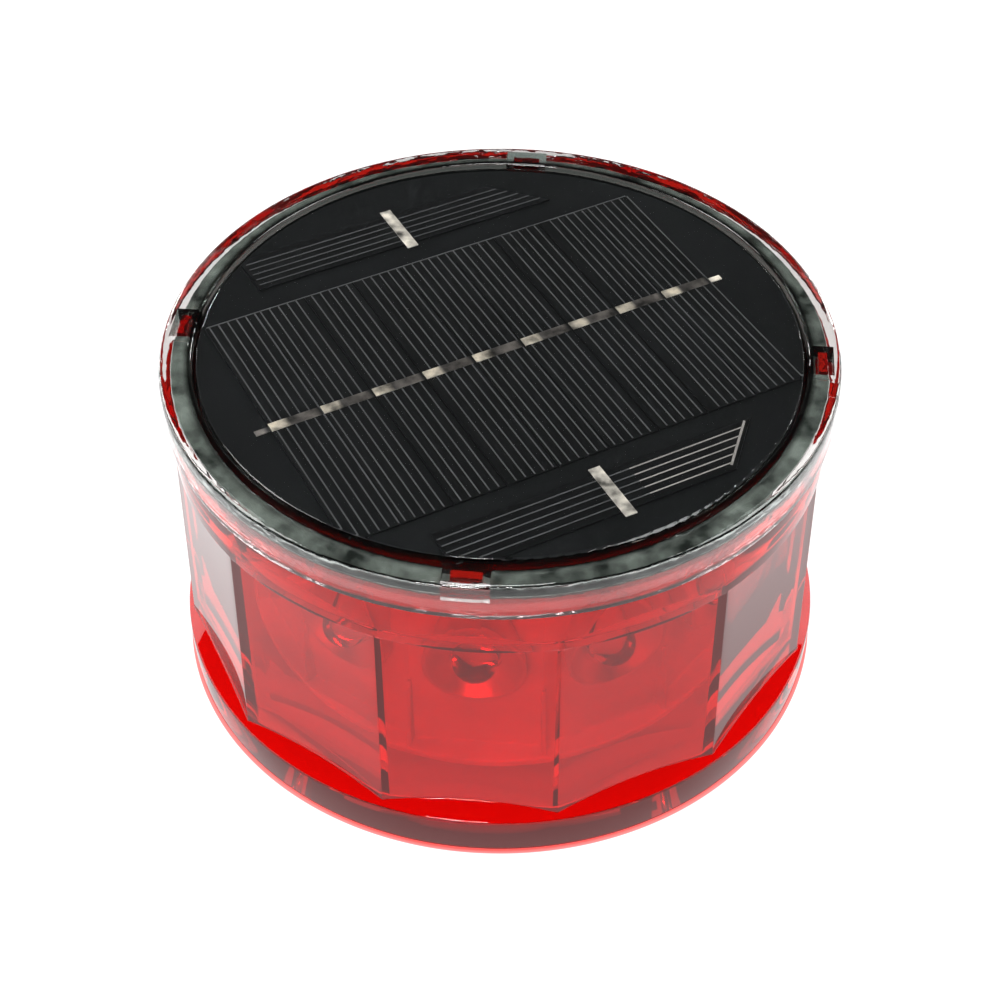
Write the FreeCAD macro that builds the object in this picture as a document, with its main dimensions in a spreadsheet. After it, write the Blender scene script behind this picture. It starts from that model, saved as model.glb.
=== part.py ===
"""Solar barricade warning light: a red twelve-sided cup, a clear cap with a solar panel, and the lamp inside.

Millimetres. The origin is the middle of the foot, on the surface that the lamp stands on, with +Z up.
The front of the lamp faces -Y.
"""
import FreeCAD, Part
import os
import Sketcher
from FreeCAD import Placement, Rotation, Vector

DIMENSIONS = [
    ("flange_radius", 60.0, "outer radius of the foot flange"),
    ("flange_height", 8.0, "height of the upright part of the flange"),
    ("flare_height", 5.0, "height of the 45 degree flare above the flange"),
    ("corner_radius", 59.0, "radius to the corners of the twelve-sided wall"),
    ("facet_top", 50.0, "height where the flat facets end"),
    ("band_radius", 58.0, "radius of the plain band above the facets"),
    ("band_top", 59.0, "height where the band steps in under the cover"),
    ("spigot_radius", 56.7, "radius of the neck that enters the cover"),
    ("spigot_top", 63.0, "top of the neck"),
    ("neck_bore", 55.1, "bore of the neck and of the band"),
    ("cavity_flat", 53.2, "distance from the axis to the flats inside the cup"),
    ("foot_inner_radius", 40.0, "inner radius of the thick foot ring"),
    ("floor_under", 4.0, "underside of the floor"),
    ("floor_top", 7.0, "upper side of the floor"),
    ("hook_inner", 55.0, "inner side of a snap hook"),
    ("hook_outer", 56.5, "outer side of a snap hook"),
    ("hook_width", 5.0, "width of a snap hook"),
    ("hook_top", 65.3, "top of a snap hook"),
    ("hook_boss_radius", 1.3, "radius of the round catch on a hook"),
    ("hook_boss_reach", 0.7, "how far the catch stands out"),
    ("cover_radius", 59.0, "outer radius of the clear cover"),
    ("cover_top", 66.5, "top of the rim, the overall height"),
    ("skirt_low", 59.15, "lower edge of the cover's skirt"),
    ("skirt_inner", 57.0, "inner radius of the skirt"),
    ("rim_under", 63.3, "underside of the rim above the neck"),
    ("collar_outer", 53.7, "outer radius of the collar inside the neck"),
    ("collar_inner", 52.2, "inner radius of that collar"),
    ("collar_low", 59.5, "lower edge of that collar"),
    ("rim_round", 1.2, "rounding of the rim's outer edge"),
    ("rim_inner_round", 0.7, "rounding of the rim's inner edge"),
    ("pocket_inner", 54.0, "inner side of a hook pocket"),
    ("pocket_outer", 57.6, "outer side of a hook pocket"),
    ("pocket_width", 7.6, "width of a hook pocket"),
    ("pocket_top", 65.7, "roof of a hook pocket"),
    ("seal_inner", 53.9, "inner radius of the flat seal on the neck"),
    ("seal_outer", 56.9, "outer radius of that seal"),
    ("seal_notch", 54.8, "inner side of the seal's notches for the hooks"),
    ("recess_radius", 53.2, "radius of the panel recess"),
    ("recess_floor", 62.9, "floor of the panel recess"),
    ("cover_under", 61.3, "underside of that floor"),
    ("tape_thickness", 0.4, "foam tape under the panel"),
    ("tape_inner", 44.0, "inner radius of the foam tape"),
    ("panel_radius", 52.6, "radius of the solar panel"),
    ("board_thickness", 1.4, "thickness of the panel's board"),
    ("cell_thickness", 0.3, "thickness of a solar cell"),
    ("cell_pitch", 9.53, "spacing of the cells in the main row"),
    ("cell_width", 9.25, "width of a cell along the row"),
    ("row_start", -43.9, "start of the main row"),
    ("row_low", -31.8, "front edge of the main row"),
    ("row_length", 59.7, "length of a cell across the row"),
    ("cell_clip", 52.0, "radius that the outer cells are trimmed to"),
    ("rear_cell_low", 33.6, "inner edge of the rear side cell"),
    ("front_cell_low", -45.7, "outer edge of the front side cell"),
    ("side_cell_depth", 9.5, "width of a side cell"),
    ("side_cell_left", -31.2, "left end of the side cells"),
    ("side_cell_short", 19.3, "right end of a side cell's outer edge"),
    ("side_cell_long", 28.2, "right end of a side cell's inner edge"),
    ("ribbon_thickness", 0.2, "thickness of the tinned ribbon"),
    ("ribbon_width", 1.9, "width of the tinned ribbon"),
    ("ribbon_line", -1.45, "line of the ribbon along the row"),
    ("ribbon_tail", 2.6, "free tail of the ribbon at each end"),
    ("resin_thickness", 0.8, "clear coat above the ribbons"),
    ("drum_flat", 43.0, "distance from the axis to the drum's flats"),
    ("drum_wall", 2.4, "wall of the drum"),
    ("drum_top", 50.0, "top of the drum"),
    ("drum_foot_radius", 47.0, "outer radius of the drum's foot"),
    ("drum_foot_inner", 34.0, "inner radius of the drum's foot"),
    ("drum_foot_height", 1.6, "thickness of the drum's foot"),
    ("ledge_inner", 34.0, "inner radius of the ledge under the board"),
    ("ledge_low", 43.5, "underside of the ledge"),
    ("ledge_top", 45.5, "top of the ledge"),
    ("lamp_height", 34.0, "height of the lamps' axes"),
    ("lamp_radius", 4.0, "radius of an LED"),
    ("lamp_back", 40.45, "back face of an LED from the axis"),
    ("lamp_shoulder", 44.6, "where an LED's dome starts"),
    ("cup_outer", 8.9, "outer radius of a reflector cup"),
    ("cup_inner", 4.5, "inner radius of a reflector cup"),
    ("cup_depth", 3.2, "depth of a reflector cup"),
    ("strip_low", 29.0, "lower edge of the LED strip"),
    ("strip_high", 39.0, "upper edge of the LED strip"),
    ("strip_thickness", 0.35, "thickness of the LED strip"),
    ("control_radius", 38.5, "radius of the control board"),
    ("control_thickness", 1.6, "thickness of the control board"),
    ("battery_radius", 7.1, "radius of a battery cell"),
    ("battery_length", 49.2, "length of a battery cell"),
    ("battery_axis", 33.0, "height of the battery cells' axes"),
    ("tray_floor", 23.5, "underside of the battery tray"),
    ("tray_thickness", 2.0, "thickness of the battery tray"),
    ("screw_circle", 38.0, "radius of the drum screws' circle"),
    ("board_screw_circle", 36.4, "radius of the board screws' circle"),
    ("switch_offset", 26.8, "switch axis from the lamp's axis"),
    ("switch_barrel", 5.0, "radius of the switch's barrel"),
    ("switch_bore", 3.58, "bore that guides the push button"),
    ("button_radius", 3.5, "radius of the push button's stem"),
    ("button_low", 0.8, "lower face of the push button at rest"),
    ("magnet_radius", 16.5, "radius of the magnet's steel cup"),
    ("magnet_low", 0.15, "lower face of the magnet's steel cup"),
    ("magnet_height", 6.9, "height of the magnet's steel cup"),
]
SIDES = 12
HOOKS = 4
SCREWS = 4
ROW_CELLS = 9
LAMP_TURN = -95.3       # degrees about Z, from +X to the middle of the front facet
ROW_TURN = 27.7         # degrees about Z, from +X to the line of the row of cells
SCREW_TURN = 45.0       # degrees from a hook to the next screw
COS_SCREW_TURN = 0.70710678
HALF_SIDE_COSINE = 0.9659258    # cosine of half the turn from one of the twelve sides to the next
AXIS_REACH = 80.0       # length of the construction axes
lamp_rotation = Rotation(Vector(0, 0, 1), LAMP_TURN)

doc = FreeCAD.newDocument("warning_light")
sheet = doc.addObject("Spreadsheet::Sheet", "Sizes")


class Size:
    """A length that knows its value and the spreadsheet formula that gives it."""

    def __init__(self, value, formula):
        self.value = value
        self.formula = formula

    def __add__(self, other):
        other = as_size(other)
        return Size(self.value + other.value, f"({self.formula} + {other.formula})")

    def __sub__(self, other):
        other = as_size(other)
        return Size(self.value - other.value, f"({self.formula} - {other.formula})")

    def __mul__(self, factor):
        return Size(self.value * factor, f"({self.formula} * {factor})")

    def __truediv__(self, factor):
        return Size(self.value / factor, f"({self.formula} / {factor})")

    def __neg__(self):
        return Size(-self.value, f"(0 - {self.formula})")


def as_size(number):
    """A plain number of millimetres as a Size."""
    if isinstance(number, Size):
        return number
    return Size(float(number), f"({number})" if number < 0 else str(number))


size = {}
for row, (alias, value, meaning) in enumerate(DIMENSIONS, start=1):
    sheet.set(f"A{row}", alias)
    sheet.set(f"B{row}", str(value))
    sheet.set(f"C{row}", meaning)
    sheet.setAlias(f"B{row}", alias)
    size[alias] = Size(value, f"Sizes.{alias}")
doc.recompute()

sub_parts = []


# ---------------------------------------------------------------- helpers

def new_body(label, turn=0.0, base=Vector(0, 0, 0)):
    """An empty body for one piece, turned about Z and moved to its place."""
    body = doc.addObject("PartDesign::Body", label + "_body")
    body.Label = label
    body.Placement = Placement(base, Rotation(Vector(0, 0, 1), turn))
    sub_parts.append(body)
    return body


def origin_part(body, role):
    """One of the body's own origin planes or axes."""
    return next(feature for feature in body.Origin.OriginFeatures if feature.Role == role)


def new_sketch(body, name, role, lift=None):
    """A sketch on one of the body's origin planes, lifted off it by a size."""
    sketch = body.newObject("Sketcher::SketchObject", name)
    sketch.AttachmentSupport = [(origin_part(body, role), "")]
    sketch.MapMode = "FlatFace"
    if lift is not None:
        sketch.setExpression("AttachmentOffset.Base.z", as_size(lift).formula)
    return sketch


def bind(sketch, axis, element, point, distance):
    """Hold one coordinate of a sketch point at a size from the origin."""
    distance = as_size(distance)
    if distance.value == 0:
        axis_line = -2 if axis == "X" else -1
        sketch.addConstraint(Sketcher.Constraint("PointOnObject", element, point, axis_line))
        return
    kind = "Distance" + axis
    index = sketch.addConstraint(Sketcher.Constraint(kind, -1, 1, element, point, distance.value))
    sketch.setExpression(f"Constraints[{index}]", distance.formula)


def draw_outline(sketch, corners):
    """A closed straight-sided outline with every corner bound to its two sizes."""
    places = [Vector(as_size(x).value, as_size(y).value, 0) for x, y in corners]
    count = len(places)
    first = sketch.GeometryCount
    for index in range(count):
        sketch.addGeometry(Part.LineSegment(places[index], places[(index + 1) % count]))
    for index in range(count):
        following = first + (index + 1) % count
        sketch.addConstraint(Sketcher.Constraint("Coincident", first + index, 2, following, 1))
    for index, (x, y) in enumerate(corners):
        bind(sketch, "X", first + index, 1, x)
        bind(sketch, "Y", first + index, 1, y)


def draw_circle(sketch, x, y, radius):
    """A circle with its centre and radius bound to sizes."""
    radius = as_size(radius)
    centre = Vector(as_size(x).value, as_size(y).value, 0)
    circle = sketch.addGeometry(Part.Circle(centre, Vector(0, 0, 1), radius.value))
    if as_size(x).value == 0 and as_size(y).value == 0:
        sketch.addConstraint(Sketcher.Constraint("Coincident", circle, 3, -1, 1))
    else:
        bind(sketch, "X", circle, 3, x)
        bind(sketch, "Y", circle, 3, y)
    index = sketch.addConstraint(Sketcher.Constraint("Radius", circle, radius.value))
    sketch.setExpression(f"Constraints[{index}]", radius.formula)


def draw_polygon(sketch, radius, sides, half_turn):
    """A regular polygon about the origin, with a flat (or a corner) on the sketch's X axis."""
    offset = 180.0 / sides if half_turn else 0.0
    spokes = [Rotation(Vector(0, 0, 1), offset + 360.0 * k / sides) for k in range(sides)]
    corners = [spoke.multVec(Vector(radius.value, 0, 0)) for spoke in spokes]
    for index in range(sides):
        sketch.addGeometry(Part.LineSegment(corners[index], corners[(index + 1) % sides]))
    rim = sketch.addGeometry(Part.Circle(Vector(0, 0, 0), Vector(0, 0, 1), radius.value), True)
    sketch.addConstraint(Sketcher.Constraint("Coincident", rim, 3, -1, 1))
    for index in range(sides):
        sketch.addConstraint(Sketcher.Constraint("Coincident", index, 2, (index + 1) % sides, 1))
        sketch.addConstraint(Sketcher.Constraint("PointOnObject", index, 1, rim))
        if index:
            sketch.addConstraint(Sketcher.Constraint("Equal", 0, index))
    if half_turn:
        sketch.addConstraint(Sketcher.Constraint("Vertical", sides - 1))
    else:
        sketch.addConstraint(Sketcher.Constraint("PointOnObject", 0, 1, -1))
    held = sketch.addConstraint(Sketcher.Constraint("Radius", rim, radius.value))
    sketch.setExpression(f"Constraints[{held}]", radius.formula)


def revolve(body, name, corners, cut=False):
    """Turn an outline of radii and heights about the body's Z axis, to add or to cut."""
    sketch = new_sketch(body, name + "_outline", "XZ_Plane")
    draw_outline(sketch, corners)
    kind = "PartDesign::Groove" if cut else "PartDesign::Revolution"
    feature = body.newObject(kind, name)
    feature.Profile = sketch
    feature.ReferenceAxis = (sketch, ["V_Axis"])
    feature.Angle = 360.0
    return feature


def pad(body, name, sketch, length):
    """Raise a sketch along +Z by a size."""
    feature = body.newObject("PartDesign::Pad", name)
    feature.Profile = sketch
    feature.setExpression("Length", as_size(length).formula)
    return feature


def pocket_up(body, name, sketch, length):
    """Cut upwards from a sketch by a size."""
    feature = body.newObject("PartDesign::Pocket", name)
    feature.Profile = sketch
    feature.Reversed = True
    feature.setExpression("Length", as_size(length).formula)
    return feature


def around(body, name, features, count):
    """Repeat features evenly about the body's Z axis."""
    pattern = body.newObject("PartDesign::PolarPattern", name)
    pattern.Originals = features
    pattern.Axis = (origin_part(body, "Z_Axis"), [""])
    pattern.Angle = 360.0
    pattern.Occurrences = count
    body.Tip = pattern
    return pattern


def round_edges(body, name, radius, wanted):
    """Round those edges of the body for which wanted(edge) is true."""
    doc.recompute()
    base = body.Tip
    edges = [f"Edge{number}" for number, edge in enumerate(base.Shape.Edges, 1) if wanted(edge)]
    fillet = body.newObject("PartDesign::Fillet", name)
    fillet.Base = (base, edges)
    fillet.setExpression("Radius", radius.formula)
    return fillet


def circle_at(radius, height):
    """A test for circular edges about the Z axis with this radius and height."""
    def test(edge):
        curve = edge.Curve
        if not isinstance(curve, Part.Circle):
            return False
        same_radius = abs(curve.Radius - radius.value) < 0.01
        same_height = abs(edge.CenterOfMass.z - height.value) < 0.01
        return same_radius and same_height
    return test


def radial_sketch(body, name, height):
    """A sketch in the upright plane through +X with a construction axis at a height."""
    sketch = new_sketch(body, name, "XZ_Plane")
    inner = Vector(0, height.value, 0)
    axis = sketch.addGeometry(Part.LineSegment(inner, inner + Vector(AXIS_REACH, 0, 0)), True)
    sketch.addConstraint(Sketcher.Constraint("Horizontal", axis))
    bind(sketch, "X", axis, 1, 0)
    bind(sketch, "Y", axis, 1, height)
    bind(sketch, "X", axis, 2, AXIS_REACH)
    return sketch


def radial_turn(body, name, height, corners, cut=False):
    """Turn an outline (distance out, distance from the axis) about a level radial axis."""
    sketch = radial_sketch(body, name + "_outline", height)
    draw_outline(sketch, [(out, as_size(off) + height) for out, off in corners])
    kind = "PartDesign::Groove" if cut else "PartDesign::Revolution"
    feature = body.newObject(kind, name)
    feature.Profile = sketch
    feature.ReferenceAxis = (sketch, ["Axis0"])
    feature.Angle = 360.0
    return feature


def block(label, corner, extent, turn=0.0):
    """A rectangular block from its lowest corner, turned about Z."""
    box = doc.addObject("Part::Box", label + "_block")
    box.Label = label
    box.setExpression("Length", as_size(extent[0]).formula)
    box.setExpression("Width", as_size(extent[1]).formula)
    box.setExpression("Height", as_size(extent[2]).formula)
    turned = Rotation(Vector(0, 0, 1), turn)
    place = Vector(*[as_size(value).value for value in corner])
    box.Placement = Placement(turned.multVec(place), turned)
    return box


def rod(label, base, radius, length, direction=Vector(0, 0, 1)):
    """A round bar from the middle of its lower end."""
    cylinder = doc.addObject("Part::Cylinder", label + "_rod")
    cylinder.Label = label
    cylinder.setExpression("Radius", as_size(radius).formula)
    cylinder.setExpression("Height", as_size(length).formula)
    place = Vector(*[as_size(value).value for value in base])
    cylinder.Placement = Placement(place, Rotation(Vector(0, 0, 1), direction))
    return cylinder


def combine(kind, label, pieces):
    """Fuse, intersect or gather pieces under one label."""
    result = doc.addObject(kind, label + "_whole")
    result.Label = label
    if kind == "Part::Compound":
        result.Links = pieces
    else:
        result.Shapes = pieces
    return result


# ---------------------------------------------------------------- the red cup

cup = new_body("lens_body", LAMP_TURN)
wall_sketch = new_sketch(cup, "wall_outline", "XY_Plane")
draw_polygon(wall_sketch, size["corner_radius"], SIDES, half_turn=True)
pad(cup, "wall", wall_sketch, size["facet_top"])
flare_top = size["flange_height"] + size["flare_height"]
revolve(cup, "flange", [
    (0, 0),
    (size["flange_radius"], 0),
    (size["flange_radius"], size["flange_height"]),
    (size["flange_radius"] - size["flare_height"], flare_top),
    (0, flare_top),
])
revolve(cup, "band", [
    (0, size["facet_top"]),
    (size["band_radius"], size["facet_top"]),
    (size["band_radius"], size["band_top"]),
    (size["spigot_radius"], size["band_top"]),
    (size["spigot_radius"], size["spigot_top"]),
    (0, size["spigot_top"]),
])
revolve(cup, "neck_bore", [
    (0, size["facet_top"]),
    (size["neck_bore"], size["facet_top"]),
    (size["neck_bore"], size["spigot_top"] + 1),
    (0, size["spigot_top"] + 1),
], cut=True)
cavity_sketch = new_sketch(cup, "cavity_outline", "XY_Plane", lift=size["floor_top"])
draw_polygon(cavity_sketch, size["cavity_flat"] / HALF_SIDE_COSINE, SIDES, half_turn=True)
pocket_up(cup, "cavity", cavity_sketch, size["facet_top"] - size["floor_top"] + 0.5)
revolve(cup, "foot_recess", [
    (0, -1),
    (size["foot_inner_radius"], -1),
    (size["foot_inner_radius"], size["floor_under"]),
    (0, size["floor_under"]),
], cut=True)

# The middle of the floor is raised over the magnet and holds the brass insert.
well_roof = size["magnet_low"] + size["magnet_height"] + 0.25
INSERT_RADIUS = 3.4
INSERT_LENGTH = 7.0
INSERT_WALL = 3.1
boss_top = well_roof + 3 + INSERT_LENGTH
well_radius = size["magnet_radius"] + 0.3
revolve(cup, "magnet_housing", [
    (0, size["floor_under"] + 1),
    (well_radius + 2.5, size["floor_under"] + 1),
    (well_radius + 2.5, well_roof + 3),
    (INSERT_RADIUS + INSERT_WALL, well_roof + 3),
    (INSERT_RADIUS + INSERT_WALL, boss_top),
    (0, boss_top),
])
revolve(cup, "magnet_well", [
    (0, -1),
    (well_radius, -1),
    (well_radius, well_roof),
    (INSERT_RADIUS, well_roof),
    (INSERT_RADIUS, well_roof + INSERT_LENGTH),
    (0, well_roof + INSERT_LENGTH),
], cut=True)

switch_sketch = new_sketch(cup, "switch_hole_outline", "XY_Plane")
draw_circle(switch_sketch, -size["switch_offset"], 0, size["switch_barrel"] + 0.1)
pocket_up(cup, "switch_hole", switch_sketch, size["floor_top"] + 1)

SCREW_BOSS_RADIUS = 4.0
SCREW_PILOT_RADIUS = 1.25
boss_sketch = new_sketch(cup, "screw_boss_outline", "XY_Plane", lift=1.0)
diagonal = size["screw_circle"] * COS_SCREW_TURN
draw_circle(boss_sketch, diagonal, diagonal, SCREW_BOSS_RADIUS)
screw_boss = pad(cup, "screw_boss", boss_sketch, size["floor_under"] - 0.5)
around(cup, "screw_bosses", [screw_boss], SCREWS)
pilot_sketch = new_sketch(cup, "screw_pilot_outline", "XY_Plane", lift=2.0)
draw_circle(pilot_sketch, diagonal, diagonal, SCREW_PILOT_RADIUS)
screw_pilot = pocket_up(cup, "screw_pilot", pilot_sketch, size["floor_top"])
around(cup, "screw_pilots", [screw_pilot], SCREWS)

hook_sketch = new_sketch(cup, "hook_outline", "XY_Plane", lift=size["spigot_top"] - 0.5)
half_hook = size["hook_width"] / 2
draw_outline(hook_sketch, [
    (size["hook_inner"], -half_hook),
    (size["hook_outer"], -half_hook),
    (size["hook_outer"], half_hook),
    (size["hook_inner"], half_hook),
])
hook = pad(cup, "hook", hook_sketch, size["hook_top"] - size["spigot_top"] + 0.5)
catch = radial_turn(cup, "hook_catch", size["hook_top"] - size["hook_boss_radius"] * 0.85, [
    (size["hook_inner"] + 0.5, 0),
    (size["hook_outer"] + size["hook_boss_reach"], 0),
    (size["hook_outer"] + size["hook_boss_reach"], size["hook_boss_radius"] * 0.5),
    (size["hook_outer"], size["hook_boss_radius"] * 0.85),
    (size["hook_inner"] + 0.5, size["hook_boss_radius"] * 0.85),
])
around(cup, "hooks", [hook, catch], HOOKS)
round_edges(cup, "flange_edge", as_size(0.4), circle_at(size["flange_radius"], as_size(0)))


# ---------------------------------------------------------------- the clear cover and its seal

cover = new_body("clear_cover", LAMP_TURN)
revolve(cover, "cap", [
    (0, size["cover_under"]),
    (size["collar_inner"], size["cover_under"]),
    (size["collar_inner"], size["collar_low"]),
    (size["collar_outer"], size["collar_low"]),
    (size["collar_outer"], size["rim_under"]),
    (size["skirt_inner"], size["rim_under"]),
    (size["skirt_inner"], size["skirt_low"]),
    (size["cover_radius"], size["skirt_low"]),
    (size["cover_radius"], size["cover_top"]),
    (size["recess_radius"], size["cover_top"]),
    (size["recess_radius"], size["recess_floor"]),
    (0, size["recess_floor"]),
])
half_pocket = size["pocket_width"] / 2
hook_pocket_sketch = new_sketch(cover, "hook_pocket_outline", "XY_Plane", lift=size["rim_under"] - 0.5)
draw_outline(hook_pocket_sketch, [
    (size["pocket_inner"], -half_pocket),
    (size["pocket_outer"], -half_pocket),
    (size["pocket_outer"], half_pocket),
    (size["pocket_inner"], half_pocket),
])
hook_pocket_depth = size["pocket_top"] - size["rim_under"] + 0.5
hook_pocket = pocket_up(cover, "hook_pocket", hook_pocket_sketch, hook_pocket_depth)
around(cover, "hook_pockets", [hook_pocket], HOOKS)
LEAD_RADIUS = 0.7
LEAD_SPREAD = 1.5
LEAD_LINE = 15.0
lead_hole_sketch = new_sketch(cover, "lead_hole_outline", "XY_Plane", lift=size["cover_under"] - 1)
draw_circle(lead_hole_sketch, LEAD_LINE, 0, 3)
pocket_up(cover, "lead_hole", lead_hole_sketch, 4)
round_edges(cover, "rim_outside", size["rim_round"], circle_at(size["cover_radius"], size["cover_top"]))
round_edges(cover, "rim_inside", size["rim_inner_round"], circle_at(size["recess_radius"], size["cover_top"]))

SEAL_CLEARANCE = 0.03
seal = new_body("cover_seal", LAMP_TURN)
seal_low = size["spigot_top"] + SEAL_CLEARANCE
seal_high = size["rim_under"] - SEAL_CLEARANCE
revolve(seal, "seal_ring", [
    (size["seal_inner"], seal_low),
    (size["seal_outer"], seal_low),
    (size["seal_outer"], seal_high),
    (size["seal_inner"], seal_high),
])
notch_sketch = new_sketch(seal, "seal_notch_outline", "XY_Plane", lift=seal_low - 1)
draw_outline(notch_sketch, [
    (size["seal_notch"], -half_pocket),
    (size["seal_outer"] + 1, -half_pocket),
    (size["seal_outer"] + 1, half_pocket),
    (size["seal_notch"], half_pocket),
])
notch = pocket_up(seal, "seal_notch", notch_sketch, seal_high - seal_low + 2)
around(seal, "seal_notches", [notch], HOOKS)


# ---------------------------------------------------------------- the solar panel

board_low = size["recess_floor"] + size["tape_thickness"]
cell_low = board_low + size["board_thickness"]
ribbon_low = cell_low + size["cell_thickness"]
resin_low = ribbon_low + size["ribbon_thickness"]

tape = new_body("panel_tape")
revolve(tape, "ring", [
    (size["tape_inner"], size["recess_floor"]),
    (size["panel_radius"], size["recess_floor"]),
    (size["panel_radius"], board_low),
    (size["tape_inner"], board_low),
])

solar_board = rod("solar_board", (0, 0, board_low), size["panel_radius"], size["board_thickness"])
sub_parts.append(solar_board)


def trimmed_cell(label, blank):
    """A cell blank with whatever passes the panel's edge taken off."""
    clip = rod(label + "_clip", (0, 0, cell_low - 1), size["cell_clip"], size["cell_thickness"] + 2)
    cell = combine("Part::MultiCommon", label, [blank, clip])
    sub_parts.append(cell)


for index in range(ROW_CELLS):
    label = f"solar_cell_{index + 1}"
    start = size["row_start"] + size["cell_pitch"] * index
    extent = (size["cell_width"], size["row_length"], size["cell_thickness"])
    trimmed_cell(label, block(label + "_blank", (start, size["row_low"], cell_low), extent, ROW_TURN))


def side_cell(label, low, outer_edge, inner_edge):
    """A cell beside the row: four-sided, with its right end cut at a slant."""
    body = doc.addObject("PartDesign::Body", label + "_blank")
    body.Placement = Placement(Vector(0, 0, 0), Rotation(Vector(0, 0, 1), ROW_TURN))
    sketch = new_sketch(body, label + "_outline", "XY_Plane", lift=cell_low)
    high = low + size["side_cell_depth"]
    low_end = inner_edge if low.value > 0 else outer_edge
    high_end = outer_edge if low.value > 0 else inner_edge
    draw_outline(sketch, [
        (size["side_cell_left"], low),
        (low_end, low),
        (high_end, high),
        (size["side_cell_left"], high),
    ])
    pad(body, label + "_plate", sketch, size["cell_thickness"])
    trimmed_cell(label, body)


side_cell("rear_side_cell", size["rear_cell_low"], size["side_cell_short"], size["side_cell_long"])
side_cell("front_side_cell", size["front_cell_low"], size["side_cell_short"], size["side_cell_long"])

ribbon_pieces = []
ribbon_edge = size["ribbon_line"] - size["ribbon_width"] / 2
for index in range(ROW_CELLS):
    start = size["row_start"] + size["cell_pitch"] * index
    ribbon_pieces.append(block(
        f"row_ribbon_{index + 1}",
        (start, ribbon_edge, ribbon_low),
        (size["cell_width"], size["ribbon_width"], size["ribbon_thickness"]),
        ROW_TURN,
    ))
row_end = size["row_start"] + size["cell_pitch"] * (ROW_CELLS - 1) + size["cell_width"]
tail_edge = size["ribbon_line"] - size["ribbon_width"] * 0.3
for name, start in (("left", size["row_start"] - size["ribbon_tail"] - 0.05), ("right", row_end + 0.05)):
    ribbon_pieces.append(block(
        f"ribbon_tail_{name}",
        (start, tail_edge, cell_low),
        (size["ribbon_tail"], size["ribbon_width"] * 0.6, size["ribbon_thickness"]),
        ROW_TURN,
    ))
sub_parts.append(combine("Part::Compound", "row_ribbons", ribbon_pieces))

SIDE_RIBBON_OVERHANG = 1.3
side_ribbon_length = size["side_cell_depth"] + SIDE_RIBBON_OVERHANG * 2
for side in ("rear", "front"):
    low = size[f"{side}_cell_low"] - SIDE_RIBBON_OVERHANG
    sub_parts.append(block(
        f"{side}_cell_ribbon",
        (size["ribbon_line"] - 0.7, low, ribbon_low),
        (size["ribbon_width"] * 1.1, side_ribbon_length, size["ribbon_thickness"]),
        ROW_TURN,
    ))

resin = new_body("panel_resin")
resin_top = resin_low + size["resin_thickness"]
revolve(resin, "coat", [
    (0, resin_low),
    (size["panel_radius"], resin_low),
    (size["panel_radius"], resin_top),
    (0, resin_top),
])
round_edges(resin, "coat_edge", as_size(0.5), circle_at(size["panel_radius"], resin_top))


# ---------------------------------------------------------------- the LED drum

FLOOR_GAP = 0.05
drum = new_body("led_drum", LAMP_TURN)
drum_low = size["floor_top"] + FLOOR_GAP
drum_sketch = new_sketch(drum, "drum_outline", "XY_Plane", lift=drum_low)
draw_polygon(drum_sketch, size["drum_flat"] / HALF_SIDE_COSINE, SIDES, half_turn=True)
pad(drum, "drum_wall", drum_sketch, size["drum_top"] - drum_low)
foot_top = drum_low + size["drum_foot_height"]
revolve(drum, "drum_foot", [
    (0, drum_low),
    (size["drum_foot_radius"], drum_low),
    (size["drum_foot_radius"], foot_top),
    (0, foot_top),
])
bore_sketch = new_sketch(drum, "drum_bore_outline", "XY_Plane", lift=foot_top)
draw_polygon(bore_sketch, (size["drum_flat"] - size["drum_wall"]) / HALF_SIDE_COSINE, SIDES, half_turn=True)
pocket_up(drum, "drum_bore", bore_sketch, size["drum_top"])
revolve(drum, "board_ledge", [
    (size["ledge_inner"], size["ledge_low"]),
    (size["drum_flat"] - 1, size["ledge_low"]),
    (size["drum_flat"] - 1, size["ledge_top"]),
    (size["ledge_inner"], size["ledge_top"]),
])
revolve(drum, "drum_floor_opening", [
    (0, drum_low - 1),
    (size["drum_foot_inner"], drum_low - 1),
    (size["drum_foot_inner"], foot_top + 1),
    (0, foot_top + 1),
], cut=True)
lamp_hole = radial_turn(drum, "lamp_hole", size["lamp_height"], [
    (size["drum_flat"] - size["drum_wall"] - 1, 0),
    (size["drum_flat"] + 1, 0),
    (size["drum_flat"] + 1, size["lamp_radius"] + 0.15),
    (size["drum_flat"] - size["drum_wall"] - 1, size["lamp_radius"] + 0.15),
], cut=True)
around(drum, "lamp_holes", [lamp_hole], SIDES)
foot_hole_sketch = new_sketch(drum, "foot_hole_outline", "XY_Plane", lift=drum_low - 1)
draw_circle(foot_hole_sketch, diagonal, diagonal, 1.7)
foot_hole = pocket_up(drum, "foot_hole", foot_hole_sketch, size["drum_foot_height"] + 2)
around(drum, "foot_holes", [foot_hole], SCREWS)
ledge_hole_sketch = new_sketch(drum, "ledge_hole_outline", "XY_Plane", lift=size["ledge_low"] - 1)
board_diagonal = size["board_screw_circle"] * COS_SCREW_TURN
draw_circle(ledge_hole_sketch, board_diagonal, board_diagonal, 1.15)
ledge_hole = pocket_up(drum, "ledge_hole", ledge_hole_sketch, 4)
around(drum, "ledge_holes", [ledge_hole], SCREWS)

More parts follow.
